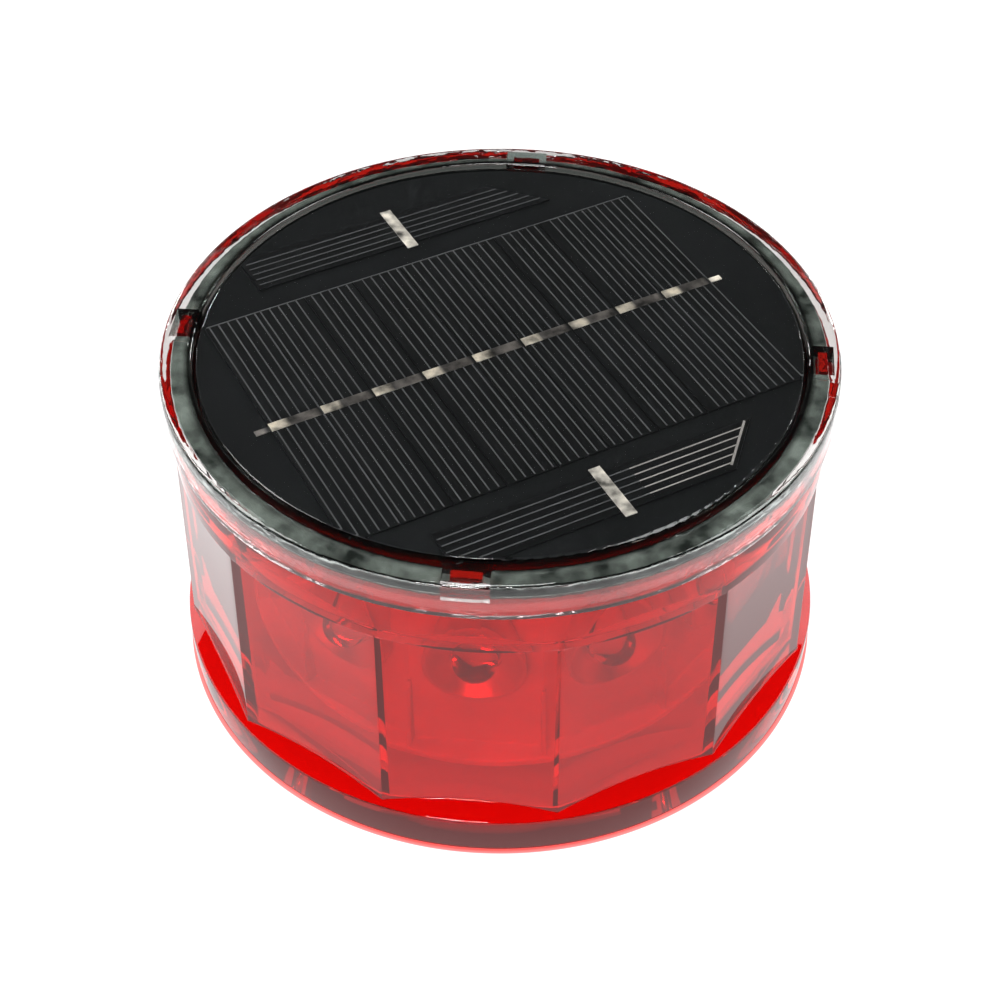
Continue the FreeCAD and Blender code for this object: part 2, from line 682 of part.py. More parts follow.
reflectors = new_body("led_reflectors", LAMP_TURN)
cup_back = size["drum_flat"] + 0.05
cup_front = cup_back + size["cup_depth"]
reflector = radial_turn(reflectors, "reflector_cup", size["lamp_height"], [
    (cup_back, size["cup_inner"]),
    (cup_back, size["cup_outer"]),
    (cup_front, size["cup_outer"]),
    (cup_front, size["cup_outer"] - 0.7),
    (cup_back + 0.6, size["cup_inner"] + 0.6),
    (cup_back + 0.6, size["cup_inner"]),
])
around(reflectors, "reflector_cups", [reflector], SIDES)

lamps = new_body("led_lamps", LAMP_TURN)
lamp = radial_turn(lamps, "lamp", size["lamp_height"], [
    (size["lamp_back"], 0),
    (size["lamp_shoulder"] + size["lamp_radius"], 0),
    (size["lamp_shoulder"] + size["lamp_radius"] * 0.92, size["lamp_radius"] * 0.39),
    (size["lamp_shoulder"] + size["lamp_radius"] * 0.71, size["lamp_radius"] * 0.71),
    (size["lamp_shoulder"] + size["lamp_radius"] * 0.39, size["lamp_radius"] * 0.92),
    (size["lamp_shoulder"], size["lamp_radius"]),
    (size["lamp_back"], size["lamp_radius"]),
])
around(lamps, "lamps", [lamp], SIDES)

strip = new_body("led_strip", LAMP_TURN)
strip_flat = size["lamp_back"] - 0.05
for name, flat in (("outer", strip_flat), ("inner", strip_flat - size["strip_thickness"])):
    strip_sketch = new_sketch(strip, f"strip_{name}_outline", "XY_Plane", lift=size["strip_low"])
    draw_polygon(strip_sketch, flat / HALF_SIDE_COSINE, SIDES, half_turn=True)
    strip_height = size["strip_high"] - size["strip_low"]
    if name == "outer":
        pad(strip, "strip_band", strip_sketch, strip_height)
    else:
        pocket_up(strip, "strip_bore", strip_sketch, strip_height)


# ---------------------------------------------------------------- the control board and its parts

board_face = size["ledge_top"] + 0.05
parts_face = board_face + size["control_thickness"]
control = new_body("control_board", LAMP_TURN)
control_sketch = new_sketch(control, "control_outline", "XY_Plane", lift=board_face)
draw_circle(control_sketch, 0, 0, size["control_radius"])
pad(control, "control_plate", control_sketch, size["control_thickness"])
control_hole_sketch = new_sketch(control, "control_hole_outline", "XY_Plane", lift=board_face - 1)
draw_circle(control_hole_sketch, board_diagonal, board_diagonal, 1.3)
control_hole = pocket_up(control, "control_hole", control_hole_sketch, size["control_thickness"] + 2)
around(control, "control_holes", [control_hole], SCREWS)

CHIP = (5.0, 4.0, 1.6)
PLUG = (5.0, 7.0, 5.0)
sub_parts.append(block("control_chip", (-12, -6, parts_face), CHIP, LAMP_TURN))
sub_parts.append(block("panel_plug", (LEAD_LINE - 2.5, -3.5, parts_face), PLUG, LAMP_TURN))
coil_place = lamp_rotation.multVec(Vector(-2, 16, 0))
coil = new_body("charge_coil", LAMP_TURN, coil_place)
revolve(coil, "coil_drum", [
    (0, parts_face),
    (5, parts_face),
    (5, parts_face + 1),
    (3.6, parts_face + 1.4),
    (3.6, parts_face + 4.2),
    (5, parts_face + 4.6),
    (5, parts_face + 5.6),
    (0, parts_face + 5.6),
])
capacitor_place = lamp_rotation.multVec(Vector(-6, -20, 0))
capacitor = new_body("storage_capacitor", LAMP_TURN, capacitor_place)
revolve(capacitor, "can", [
    (0, parts_face),
    (4, parts_face),
    (4, parts_face + 1.2),
    (3.6, parts_face + 1.6),
    (4, parts_face + 2.0),
    (4, parts_face + 10.4),
    (0, parts_face + 10.4),
])


def screws(label, circle, seat, shank_radius, shank_length, head_radius, head_height):
    """Four identical pan-head screws on a circle, between the body's axes."""
    body = new_body(label, LAMP_TURN + SCREW_TURN)
    sketch = new_sketch(body, label + "_outline", "XZ_Plane")
    lower = Vector(circle.value, 0, 0)
    axis = sketch.addGeometry(Part.LineSegment(lower, lower + Vector(0, AXIS_REACH, 0)), True)
    sketch.addConstraint(Sketcher.Constraint("Vertical", axis))
    bind(sketch, "X", axis, 1, circle)
    bind(sketch, "Y", axis, 1, 0)
    bind(sketch, "Y", axis, 2, AXIS_REACH)
    draw_outline(sketch, [
        (circle, seat - shank_length),
        (circle + shank_radius, seat - shank_length + shank_radius),
        (circle + shank_radius, seat),
        (circle + head_radius, seat),
        (circle + head_radius, seat + head_height * 0.6),
        (circle + head_radius * 0.6, seat + head_height),
        (circle, seat + head_height),
    ])
    single = body.newObject("PartDesign::Revolution", label + "_screw")
    single.Profile = sketch
    single.ReferenceAxis = (sketch, ["Axis0"])
    single.Angle = 360.0
    around(body, label + "_set", [single], SCREWS)


screws("drum_screws", size["screw_circle"], foot_top + 0.02, 1.2, 5.5, 2.7, 1.8)
screws("board_screws", size["board_screw_circle"], parts_face + 0.02, 1.1, 4.0, 2.0, 1.5)

plug_top = parts_face + PLUG[2]
for label, side in (("panel_lead_red", 1), ("panel_lead_black", -1)):
    place = lamp_rotation.multVec(Vector(LEAD_LINE, side * LEAD_SPREAD, 0))
    sub_parts.append(rod(label, (place.x, place.y, plug_top), LEAD_RADIUS, board_low - plug_top))


# ---------------------------------------------------------------- the battery

BATTERY_CELLS = 3
battery_step = size["battery_radius"] * 2 + 0.2
battery_start = -size["battery_length"] / 2
for index in range(BATTERY_CELLS):
    label = f"battery_cell_{index + 1}"
    across = battery_step * (index - 1)
    can = rod(label + "_can", (battery_start, across, size["battery_axis"]),
              size["battery_radius"], size["battery_length"], Vector(1, 0, 0))
    nose_start = -battery_start if index % 2 else battery_start - 1.0
    nose = rod(label + "_nose", (nose_start, across, size["battery_axis"]), 2.7, 1.0, Vector(1, 0, 0))
    sub_parts.append(combine("Part::MultiFuse", label, [can, nose]))

LINK = (0.3, 19.0, 5.0)
link_places = [
    (-size["battery_length"] / 2 - 1.35, battery_step * -0.5 - 9.5),
    (size["battery_length"] / 2 + 1.05, battery_step * 0.5 - 9.5),
]
links = []
for number, (along, across) in enumerate(link_places, 1):
    corner = (along, across, size["battery_axis"] - LINK[2] / 2)
    links.append(block(f"battery_link_{number}", corner, LINK))
sub_parts.append(combine("Part::Compound", "battery_links", links))

TRAY_SIDE = 26.9
TRAY_WALL = 1.6
TRAY_REACH = 23.2
tray_top = size["tray_floor"] + size["tray_thickness"]
tray_height = size["battery_axis"] - tray_top
tray_pieces = [block(
    "tray_plate",
    (-TRAY_REACH, -TRAY_SIDE + TRAY_WALL, size["tray_floor"]),
    (TRAY_REACH * 2, (TRAY_SIDE - TRAY_WALL) * 2, size["tray_thickness"]),
)]
for number, across in enumerate((-TRAY_SIDE + TRAY_WALL, TRAY_SIDE - TRAY_WALL * 2), 1):
    tray_pieces.append(block(
        f"tray_wall_{number}",
        (-TRAY_REACH, across, tray_top - 0.1),
        (TRAY_REACH * 2, TRAY_WALL, tray_height + 0.1),
    ))
LEG_RADIUS = 2.2
ARM_LENGTH = 9.0
LEG_PLACES = [(17.0, 31.5), (-17.0, 31.5), (17.0, -31.5), (-17.0, -31.5)]
for number, (along, across) in enumerate(LEG_PLACES, 1):
    leg_low = foot_top + 0.05
    tray_pieces.append(rod(f"tray_leg_{number}", (along, across, leg_low), LEG_RADIUS, tray_top - leg_low))
    arm_start = across - ARM_LENGTH if across > 0 else across
    tray_pieces.append(block(
        f"tray_arm_{number}",
        (along - LEG_RADIUS, arm_start, size["tray_floor"]),
        (LEG_RADIUS * 2, ARM_LENGTH, size["tray_thickness"]),
    ))
sub_parts.append(combine("Part::MultiFuse", "battery_tray", tray_pieces))

lead_low = size["battery_axis"] + 2.8
for label, along, across in (("battery_lead_red", 25.75, -14.4), ("battery_lead_black", -25.75, 14.4)):
    sub_parts.append(rod(label, (along, across, lead_low), LEAD_RADIUS, board_face - lead_low))


# ---------------------------------------------------------------- the push switch under the floor

switch_base = lamp_rotation.multVec(Vector(-size["switch_offset"].value, 0, 0))
GASKET = 0.5
BEZEL = 1.2
BEZEL_RADIUS = 7.0
STOP_LEDGE = 4.5            # top of the ledge that keeps the button in
CHAMBER_RADIUS = 4.3
SWITCH_TOP = 17.0
SWITCH_CEILING = 15.2
bezel_top = size["floor_under"] - GASKET
bezel_low = bezel_top - BEZEL

housing = new_body("switch_housing", LAMP_TURN, switch_base)
revolve(housing, "housing_turned", [
    (size["switch_bore"], bezel_low),
    (BEZEL_RADIUS, bezel_low),
    (BEZEL_RADIUS, bezel_top),
    (size["switch_barrel"], bezel_top),
    (size["switch_barrel"], SWITCH_TOP),
    (0, SWITCH_TOP),
    (0, SWITCH_CEILING),
    (CHAMBER_RADIUS, SWITCH_CEILING),
    (CHAMBER_RADIUS, STOP_LEDGE),
    (size["switch_bore"], STOP_LEDGE),
])

gasket = new_body("switch_gasket", LAMP_TURN, switch_base)
revolve(gasket, "gasket_ring", [
    (size["switch_barrel"] + 0.05, bezel_top),
    (BEZEL_RADIUS - 0.3, bezel_top),
    (BEZEL_RADIUS - 0.3, size["floor_under"]),
    (size["switch_barrel"] + 0.05, size["floor_under"]),
])

NUT_RADIUS = 6.9            # to the corners of the hexagon
NUT_HEIGHT = 2.0
nut = new_body("switch_nut", LAMP_TURN, switch_base)
nut_sketch = new_sketch(nut, "nut_outline", "XY_Plane", lift=size["floor_top"] + 0.02)
draw_polygon(nut_sketch, as_size(NUT_RADIUS), 6, half_turn=False)
draw_circle(nut_sketch, 0, 0, size["switch_barrel"] + 0.03)
pad(nut, "nut_body", nut_sketch, NUT_HEIGHT)

SHOULDER_TOP = 9.6
PIN_RADIUS = 1.6
button = new_body("switch_button", LAMP_TURN, switch_base)
revolve(button, "button_turned", [
    (0, size["button_low"]),
    (size["button_radius"] - 0.4, size["button_low"]),
    (size["button_radius"], size["button_low"] + 0.4),
    (size["button_radius"], STOP_LEDGE + 0.3),
    (CHAMBER_RADIUS - 0.3, STOP_LEDGE + 0.3),
    (CHAMBER_RADIUS - 0.3, SHOULDER_TOP),
    (PIN_RADIUS, SHOULDER_TOP),
    (PIN_RADIUS, SHOULDER_TOP + 2),
    (0, SHOULDER_TOP + 2),
])

spring = new_body("switch_spring", LAMP_TURN, switch_base)
SPRING_RADIUS = 2.6
SPRING_WIRE = 0.3
SPRING_TURNS = 5
spring_low = SHOULDER_TOP + SPRING_WIRE + 0.05
spring_height = SWITCH_CEILING - SPRING_WIRE - 0.05 - spring_low
spring_sketch = new_sketch(spring, "spring_wire_outline", "XZ_Plane")
draw_circle(spring_sketch, SPRING_RADIUS, spring_low, SPRING_WIRE)
coil_spring = spring.newObject("PartDesign::AdditiveHelix", "spring_coil")
coil_spring.Profile = spring_sketch
coil_spring.ReferenceAxis = (spring_sketch, ["V_Axis"])
coil_spring.Mode = "height-turns-angle"
coil_spring.Height = spring_height
coil_spring.Turns = SPRING_TURNS

TERMINAL = (0.8, 3.0, 4.0)
terminals = []
for number, side in enumerate((-1, 1), 1):
    offset = -size["switch_offset"].value + side * 2.2 - TERMINAL[0] / 2
    terminals.append(block(
        f"switch_terminal_{number}",
        (offset, -TERMINAL[1] / 2, SWITCH_TOP),
        TERMINAL,
        LAMP_TURN,
    ))
sub_parts.append(combine("Part::Compound", "switch_terminals", terminals))


# ---------------------------------------------------------------- the magnet under the floor

magnet_top = size["magnet_low"] + size["magnet_height"]
SCREW_RADIUS = 2.4
SCREW_HEAD = 4.6
BUSH_RADIUS = 6.0

steel_cup = new_body("magnet_cup")
revolve(steel_cup, "cup_turned", [
    (SCREW_HEAD + 0.2, size["magnet_low"]),
    (BUSH_RADIUS, size["magnet_low"]),
    (BUSH_RADIUS, magnet_top - 2),
    (size["magnet_radius"] - 1.8, magnet_top - 2),
    (size["magnet_radius"] - 1.8, size["magnet_low"]),
    (size["magnet_radius"], size["magnet_low"]),
    (size["magnet_radius"], magnet_top),
    (SCREW_RADIUS + 0.2, magnet_top),
    (SCREW_RADIUS + 0.2, size["magnet_low"] + SCREW_HEAD - SCREW_RADIUS),
])

magnet = new_body("magnet_ring")
revolve(magnet, "magnet_turned", [
    (BUSH_RADIUS + 0.2, size["magnet_low"] + 0.3),
    (size["magnet_radius"] - 2.0, size["magnet_low"] + 0.3),
    (size["magnet_radius"] - 2.0, magnet_top - 2.02),
    (BUSH_RADIUS + 0.2, magnet_top - 2.02),
])

screw = new_body("magnet_screw")
screw_low = size["magnet_low"] + 0.15
revolve(screw, "screw_turned", [
    (1.2, screw_low),
    (SCREW_HEAD, screw_low),
    (SCREW_RADIUS, screw_low + SCREW_HEAD - SCREW_RADIUS),
    (SCREW_RADIUS, well_roof + INSERT_LENGTH - 1),
    (0, well_roof + INSERT_LENGTH - 1),
    (0, screw_low + 1.6),
    (1.2, screw_low + 1.6),
])

insert = new_body("threaded_insert")
revolve(insert, "insert_turned", [
    (SCREW_RADIUS + 0.04, well_roof + 0.1),
    (INSERT_RADIUS - 0.02, well_roof + 0.1),
    (INSERT_RADIUS - 0.02, well_roof + INSERT_LENGTH - 0.1),
    (SCREW_RADIUS + 0.04, well_roof + INSERT_LENGTH - 0.1),
])


# ---------------------------------------------------------------- check and write

doc.recompute()
for thing in doc.Objects:
    if "Invalid" in thing.State or "Error" in thing.State:
        raise RuntimeError(f"{thing.Label} failed: {thing.State}")
os.makedirs("parts", exist_ok=True)
for piece in sub_parts:
    if piece.Shape.isNull() or not piece.Shape.isValid():
        raise RuntimeError(f"{piece.Label} has no valid shape")
for piece in sub_parts:
    piece.Shape.exportStep(f"parts/{piece.Label}.step")
    print(f"{piece.Label}: {len(piece.Shape.Solids)} solids, {piece.Shape.Volume:.0f} mm3")
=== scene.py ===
"""Looks of the solar barricade warning light, in metres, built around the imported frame."""
import math

import bmesh
import bpy
from mathutils import Matrix, Vector


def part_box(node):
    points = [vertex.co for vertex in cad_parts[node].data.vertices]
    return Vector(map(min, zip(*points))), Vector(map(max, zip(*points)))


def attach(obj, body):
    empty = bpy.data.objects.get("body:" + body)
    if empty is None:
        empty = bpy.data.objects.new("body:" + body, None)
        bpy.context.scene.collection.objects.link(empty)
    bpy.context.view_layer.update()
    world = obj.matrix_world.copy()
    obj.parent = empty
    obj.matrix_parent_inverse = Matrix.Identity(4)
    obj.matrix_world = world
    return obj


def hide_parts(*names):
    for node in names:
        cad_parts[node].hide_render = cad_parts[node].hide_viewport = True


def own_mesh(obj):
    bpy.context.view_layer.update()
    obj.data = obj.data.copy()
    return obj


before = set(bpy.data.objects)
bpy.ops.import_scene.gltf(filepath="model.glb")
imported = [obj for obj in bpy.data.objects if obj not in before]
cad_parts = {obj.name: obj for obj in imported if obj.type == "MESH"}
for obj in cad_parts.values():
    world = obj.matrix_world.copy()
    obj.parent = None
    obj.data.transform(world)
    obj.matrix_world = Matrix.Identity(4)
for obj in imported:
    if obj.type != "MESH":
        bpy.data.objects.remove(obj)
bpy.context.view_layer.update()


# ==== The red cup ====
# Clear red polycarbonate, moulded in one piece: a round foot flange, a twelve-sided wall that leans in a little, a
# plain band, the neck that the cover slides over and four snap hooks. The floor is raised over the magnet.
MM = 0.001
SIDES = 12
HALF_SIDE = math.pi / SIDES
FRONT_TURN = math.radians(-95.3)
QUARTER = math.pi / 2

cup_low, cup_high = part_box("lens_body")
flange_radius = (cup_high.x - cup_low.x) / 2
flange_height = 8 * MM
corner_radius = flange_radius - 1 * MM
corner_round = 0.15 * MM
foot_round = 1.5 * MM
cavity_round = 0.14 * MM
facet_top = 50 * MM
band_radius = flange_radius - 2 * MM
band_top = 59 * MM
neck_radius = flange_radius - 3.3 * MM
neck_top = 63 * MM
neck_bore = 55.1 * MM
cavity_flat = 53.2 * MM
foot_inner = 40 * MM
floor_under = 4 * MM
floor_top = 7 * MM


def soften(corners, steps=4):
    """An outline's corners (radius, height, rounding) as points, with each rounding as a short curve."""
    points = []
    count = len(corners)
    for index, (radius, height, rounding) in enumerate(corners):
        here = Vector((radius, height))
        if rounding == 0:
            points.append(here)
            continue
        before = Vector(corners[index - 1][:2]) - here
        after = Vector(corners[(index + 1) % count][:2]) - here
        reach = min(rounding, before.length * 0.48, after.length * 0.48)
        start = here + before.normalized() * reach
        end = here + after.normalized() * reach
        for step in range(steps + 1):
            t = step / steps
            points.append(start * (1 - t) ** 2 + here * 2 * t * (1 - t) + end * t ** 2)
    return points


def turned_mesh(name, angles, outline_at):
    """A closed mesh whose outline of radii and heights is given for each angle about the Z axis."""
    shape = bmesh.new()
    columns = []
    poles = {}
    for angle in angles:
        column = []
        for order, (radius, height) in enumerate(outline_at(angle)):
            if radius < 1e-7:
                if order not in poles:
                    poles[order] = shape.verts.new((0, 0, height))
                column.append(poles[order])
            else:
                column.append(shape.verts.new((radius * math.cos(angle), radius * math.sin(angle), height)))
        columns.append(column)
    size = len(columns[0])
    for index, column in enumerate(columns):
        following = columns[(index + 1) % len(columns)]
        for order in range(size):
            after = (order + 1) % size
            loop = []
            for vertex in (column[order], following[order], following[after], column[after]):
                if vertex not in loop:
                    loop.append(vertex)
            if len(loop) > 2:
                shape.faces.new(loop)
    bmesh.ops.recalc_face_normals(shape, faces=shape.faces)
    mesh = bpy.data.meshes.new(name)
    shape.to_mesh(mesh)
    shape.free()
    piece = bpy.data.objects.new(name, mesh)
    bpy.context.scene.collection.objects.link(piece)
    return piece


def even_angles(count):
    """Angles evenly spaced about the Z axis."""
    return [2 * math.pi * index / count for index in range(count)]


def polygon_radius(angle, flat, rounding):
    """Distance from the axis to a twelve-sided wall with rounded corners."""
    offset = (angle - FRONT_TURN + HALF_SIDE) % (2 * HALF_SIDE) - HALF_SIDE
    from_corner = HALF_SIDE - abs(offset)
    centre = (flat - rounding) / math.cos(HALF_SIDE)
    round_end = math.atan2(rounding * math.sin(HALF_SIDE), centre + rounding * math.cos(HALF_SIDE))
    if from_corner < round_end:
        return centre * math.cos(from_corner) + math.sqrt(rounding ** 2 - (centre * math.sin(from_corner)) ** 2)
    return flat / math.cos(offset)


def polygon_angles(flat, rounding, across=30, corner_steps=4):
    """Angles for a twelve-sided wall: even over each flat, and close together round each corner."""
    centre = (flat - rounding) / math.cos(HALF_SIDE)
    round_end = math.atan2(rounding * math.sin(HALF_SIDE), centre + rounding * math.cos(HALF_SIDE))
    angles = []
    for side in range(SIDES):
        middle = FRONT_TURN + 2 * HALF_SIDE * side
        for step in range(across):
            angles.append(middle - HALF_SIDE + round_end + (HALF_SIDE - round_end) * 2 * step / across)
        for step in range(corner_steps):
            angles.append(middle + HALF_SIDE - round_end + round_end * 2 * step / corner_steps)
    return angles


def shade(piece, sharp_degrees=28):
    """Smooth shading that breaks at sharp edges."""
    piece.data.shade_smooth()
    piece.data.set_sharp_from_angle(angle=math.radians(sharp_degrees))


def block_mesh(shape, low, high, matrix=Matrix.Identity(4)):
    """Adds a block to a bmesh, from its lowest to its highest corner."""
    middle = (Vector(low) + Vector(high)) / 2
    extent = Vector(high) - Vector(low)
    place = matrix @ Matrix.Translation(middle) @ Matrix.Diagonal((*extent, 1))
    bmesh.ops.create_cube(shape, size=1, matrix=place)


def post_mesh(shape, radius, low, high, matrix, sides=48):
    """Adds an upright round post to a bmesh."""
    place = matrix @ Matrix.Translation((0, 0, (low + high) / 2))
    bmesh.ops.create_cone(shape, cap_ends=True, segments=sides, radius1=radius, radius2=radius,
                          depth=high - low, matrix=place)


def shape_piece(name, shape):
    """A linked object made from a bmesh, which is freed."""
    bmesh.ops.recalc_face_normals(shape, faces=shape.faces)
    mesh = bpy.data.meshes.new(name)
    shape.to_mesh(mesh)
    shape.free()
    piece = bpy.data.objects.new(name, mesh)
    bpy.context.scene.collection.objects.link(piece)
    return piece


def settle(piece):
    """The piece's modifiers worked into its mesh, and removed."""
    seen = piece.evaluated_get(bpy.context.evaluated_depsgraph_get())
    finished = bpy.data.meshes.new_from_object(seen)
    piece.modifiers.clear()
    piece.data = finished
    return piece


def paint(piece, material):
    """One material over the whole piece."""
    piece.data.materials.clear()
    piece.data.materials.append(material)
    piece.data.polygons.foreach_set("material_index", [0] * len(piece.data.polygons))


def carve(piece, tool, operation):
    """Cuts a tool out of a piece or adds it, and throws the tool away."""
    boolean = piece.modifiers.new("carve", "BOOLEAN")
    boolean.operation = operation
    boolean.solver = "EXACT"
    boolean.object = tool
    settle(piece)
    bpy.data.objects.remove(tool)


def about_axis(angle, out=0.0):
    """The place at a distance out from the Z axis, turned to an angle."""
    return Matrix.Rotation(angle, 4, "Z") @ Matrix.Translation((out, 0, 0))


facet_flat = corner_radius * math.cos(HALF_SIDE)
switch_low, switch_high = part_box("switch_housing")
switch_middle = (switch_low + switch_high) / 2
switch_place = Matrix.Translation((switch_middle.x, switch_middle.y, 0))
magnet_low, magnet_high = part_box("magnet_cup")
well_radius = (magnet_high.x - magnet_low.x) / 2 + 0.3 * MM
well_roof = magnet_high.z + 0.25 * MM
insert_low, insert_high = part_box("threaded_insert")
insert_radius = (insert_high.x - insert_low.x) / 2 + 0.02 * MM
insert_roof = insert_high.z + 0.1 * MM
roof_thick = 3 * MM
well_outside = well_radius + 2.5 * MM
insert_outside = insert_radius + 3.1 * MM


def cup_outline(angle):
    """The cup's section: foot, flange, facet, band, neck, cavity, floor and the housing of the magnet."""
    wall = polygon_radius(angle, facet_flat, corner_round)
    inside = polygon_radius(angle, cavity_flat, cavity_round)
    wall_top = wall * (band_radius + 0.05 * MM) / corner_radius
    return soften([
        (foot_inner, 0, 0.3 * MM),
        (flange_radius, 0, foot_round),
        (flange_radius, flange_height, 0.45 * MM),
        (wall, flange_height + flange_radius - wall, 0.3 * MM),
        (wall_top, facet_top, 0.25 * MM),
        (band_radius, facet_top + 0.3 * MM, 0.1 * MM),
        (band_radius, band_top, 0.3 * MM),
        (neck_radius, band_top, 0.2 * MM),
        (neck_radius, neck_top, 0.3 * MM),
        (neck_bore, neck_top, 0.3 * MM),
        (neck_bore, facet_top + 0.5 * MM, 0.3 * MM),
        (inside, facet_top, 0.3 * MM),
        (inside, floor_top, 0.8 * MM),
        (well_outside, floor_top, 0.4 * MM),
        (well_outside, well_roof + roof_thick, 0.5 * MM),
        (insert_outside, well_roof + roof_thick, 0.4 * MM),
        (insert_outside, insert_roof + roof_thick, 0.4 * MM),
        (0, insert_roof + roof_thick, 0),
        (0, insert_roof, 0),
        (insert_radius, insert_roof, 0),
        (insert_radius, well_roof, 0.2 * MM),
        (well_radius, well_roof, 0.2 * MM),
        (well_radius, floor_under, 0.3 * MM),
        (foot_inner, floor_under, 0.5 * MM),
    ])


red_cup = turned_mesh("red_cup", polygon_angles(facet_flat, corner_round, across=44), cup_outline)

SCREW_ANGLES = [FRONT_TURN + QUARTER * (number + 0.5) for number in range(4)]
HOOK_ANGLES = [FRONT_TURN + QUARTER * number for number in range(4)]
screw_circle = 38 * MM
screw_boss_radius = 4 * MM
screw_pilot_radius = 1.25 * MM
switch_hole_radius = 5.1 * MM
hook_inner, hook_outer = 55 * MM, 56.5 * MM
hook_half_width = 2.5 * MM
hook_low, hook_high = neck_top - 0.4 * MM, 65.3 * MM
catch_height, catch_radius, catch_out = 64.2 * MM, 1.1 * MM, 57.2 * MM
additions = bmesh.new()
for angle in SCREW_ANGLES:
    post_mesh(additions, screw_boss_radius, 1 * MM, floor_under + 0.5 * MM, about_axis(angle, screw_circle))
for angle in HOOK_ANGLES:
    block_mesh(additions, (hook_inner, -hook_half_width, hook_low), (hook_outer, hook_half_width, hook_high),
               about_axis(angle))
    lying = about_axis(angle) @ Matrix.Translation((0, 0, catch_height)) @ Matrix.Rotation(QUARTER, 4, "Y")
    post_mesh(additions, catch_radius, hook_inner + 0.5 * MM, catch_out, lying, sides=24)
carve(red_cup, shape_piece("cup_additions", additions), "UNION")
holes = bmesh.new()
post_mesh(holes, switch_hole_radius, 3 * MM, floor_top + 1 * MM, switch_place)
for angle in SCREW_ANGLES:
    post_mesh(holes, screw_pilot_radius, 2 * MM, floor_top + 1 * MM, about_axis(angle, screw_circle))
carve(red_cup, shape_piece("cup_holes", holes), "DIFFERENCE")
shade(red_cup)


def new_material(name):
    """A material with a Principled shader, and its node tree, shader and output."""
    material = bpy.data.materials.new(name)
    material.use_nodes = True
    tree = material.node_tree
    return material, tree, tree.nodes["Principled BSDF"], tree.nodes["Material Output"]


def object_noise(tree, scale, detail=3.0, stretch=(1, 1, 1), kind="Fac"):
    """A noise pattern fixed to the piece, in cells per metre."""
    place = tree.nodes.new("ShaderNodeTexCoord")
    mapping = tree.nodes.new("ShaderNodeMapping")
    mapping.inputs["Scale"].default_value = stretch
    noise = tree.nodes.new("ShaderNodeTexNoise")
    noise.inputs["Scale"].default_value = scale
    noise.inputs["Detail"].default_value = detail
    tree.links.new(place.outputs["Object"], mapping.inputs["Vector"])
    tree.links.new(mapping.outputs["Vector"], noise.inputs["Vector"])
    return noise.outputs[kind]


def blend_range(tree, value, low, high):
    """A 0 to 1 pattern moved to run from low to high."""
    span = tree.nodes.new("ShaderNodeMapRange")
    span.inputs["To Min"].default_value = low
    span.inputs["To Max"].default_value = high
    tree.links.new(value, span.inputs["Value"])
    return span.outputs["Result"]


def blend_colours(tree, value, low, high):
    """A 0 to 1 pattern as a colour between two colours."""
    ramp = tree.nodes.new("ShaderNodeValToRGB")
    ramp.color_ramp.elements[0].color = (*low, 1)
    ramp.color_ramp.elements[1].color = (*high, 1)
    ramp.color_ramp.elements[0].position = 0.3
    ramp.color_ramp.elements[1].position = 0.7
    tree.links.new(value, ramp.inputs["Fac"])
    return ramp.outputs["Color"]


def add_bump(tree, shader, value, strength, distance):
    """Relief on a shader from a pattern."""
    bump = tree.nodes.new("ShaderNodeBump")
    bump.inputs["Strength"].default_value = strength
    bump.inputs["Distance"].default_value = distance
    tree.links.new(value, bump.inputs["Height"])
    tree.links.new(bump.outputs["Normal"], shader.inputs["Normal"])


def clear_plastic(name, colour, ior, ripple, roughness, shadow_colour, ripple_scale=60, ripple_detail=1.0):
    """A clear moulding: smooth faces with faint flow ripples, which let the lamps' light through."""
    material, tree, shader, output = new_material(name)
    shader.inputs["Base Color"].default_value = (*colour, 1)
    shader.inputs["Transmission Weight"].default_value = 1.0
    shader.inputs["IOR"].default_value = ior
    tree.links.new(blend_range(tree, object_noise(tree, 90), roughness[0], roughness[1]), shader.inputs["Roughness"])
    add_bump(tree, shader, object_noise(tree, ripple_scale, detail=ripple_detail), ripple, 0.4 * MM)
    path = tree.nodes.new("ShaderNodeLightPath")
    let_through = tree.nodes.new("ShaderNodeBsdfTransparent")
    let_through.inputs["Color"].default_value = (*shadow_colour, 1)
    choose = tree.nodes.new("ShaderNodeMixShader")
    tree.links.new(path.outputs["Is Shadow Ray"], choose.inputs["Fac"])
    tree.links.new(shader.outputs["BSDF"], choose.inputs[1])
    tree.links.new(let_through.outputs["BSDF"], choose.inputs[2])
    tree.links.new(choose.outputs["Shader"], output.inputs["Surface"])
    return material


# A very faint glow stands for the light that the red plastic scatters, and the low refractive index softens the
# dark lines at its corners.
red_plastic = clear_plastic("red_polycarbonate", (0.63, 0.012, 0.006), 1.42, 0.04, (0.0, 0.02), (0.92, 0.06, 0.04))
red_shader = red_plastic.node_tree.nodes["Principled BSDF"]
red_shader.inputs["Emission Color"].default_value = (1.0, 0.03, 0.02, 1)
red_shader.inputs["Emission Strength"].default_value = 0.018
paint(red_cup, red_plastic)
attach(red_cup, "lamp")
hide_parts("lens_body")


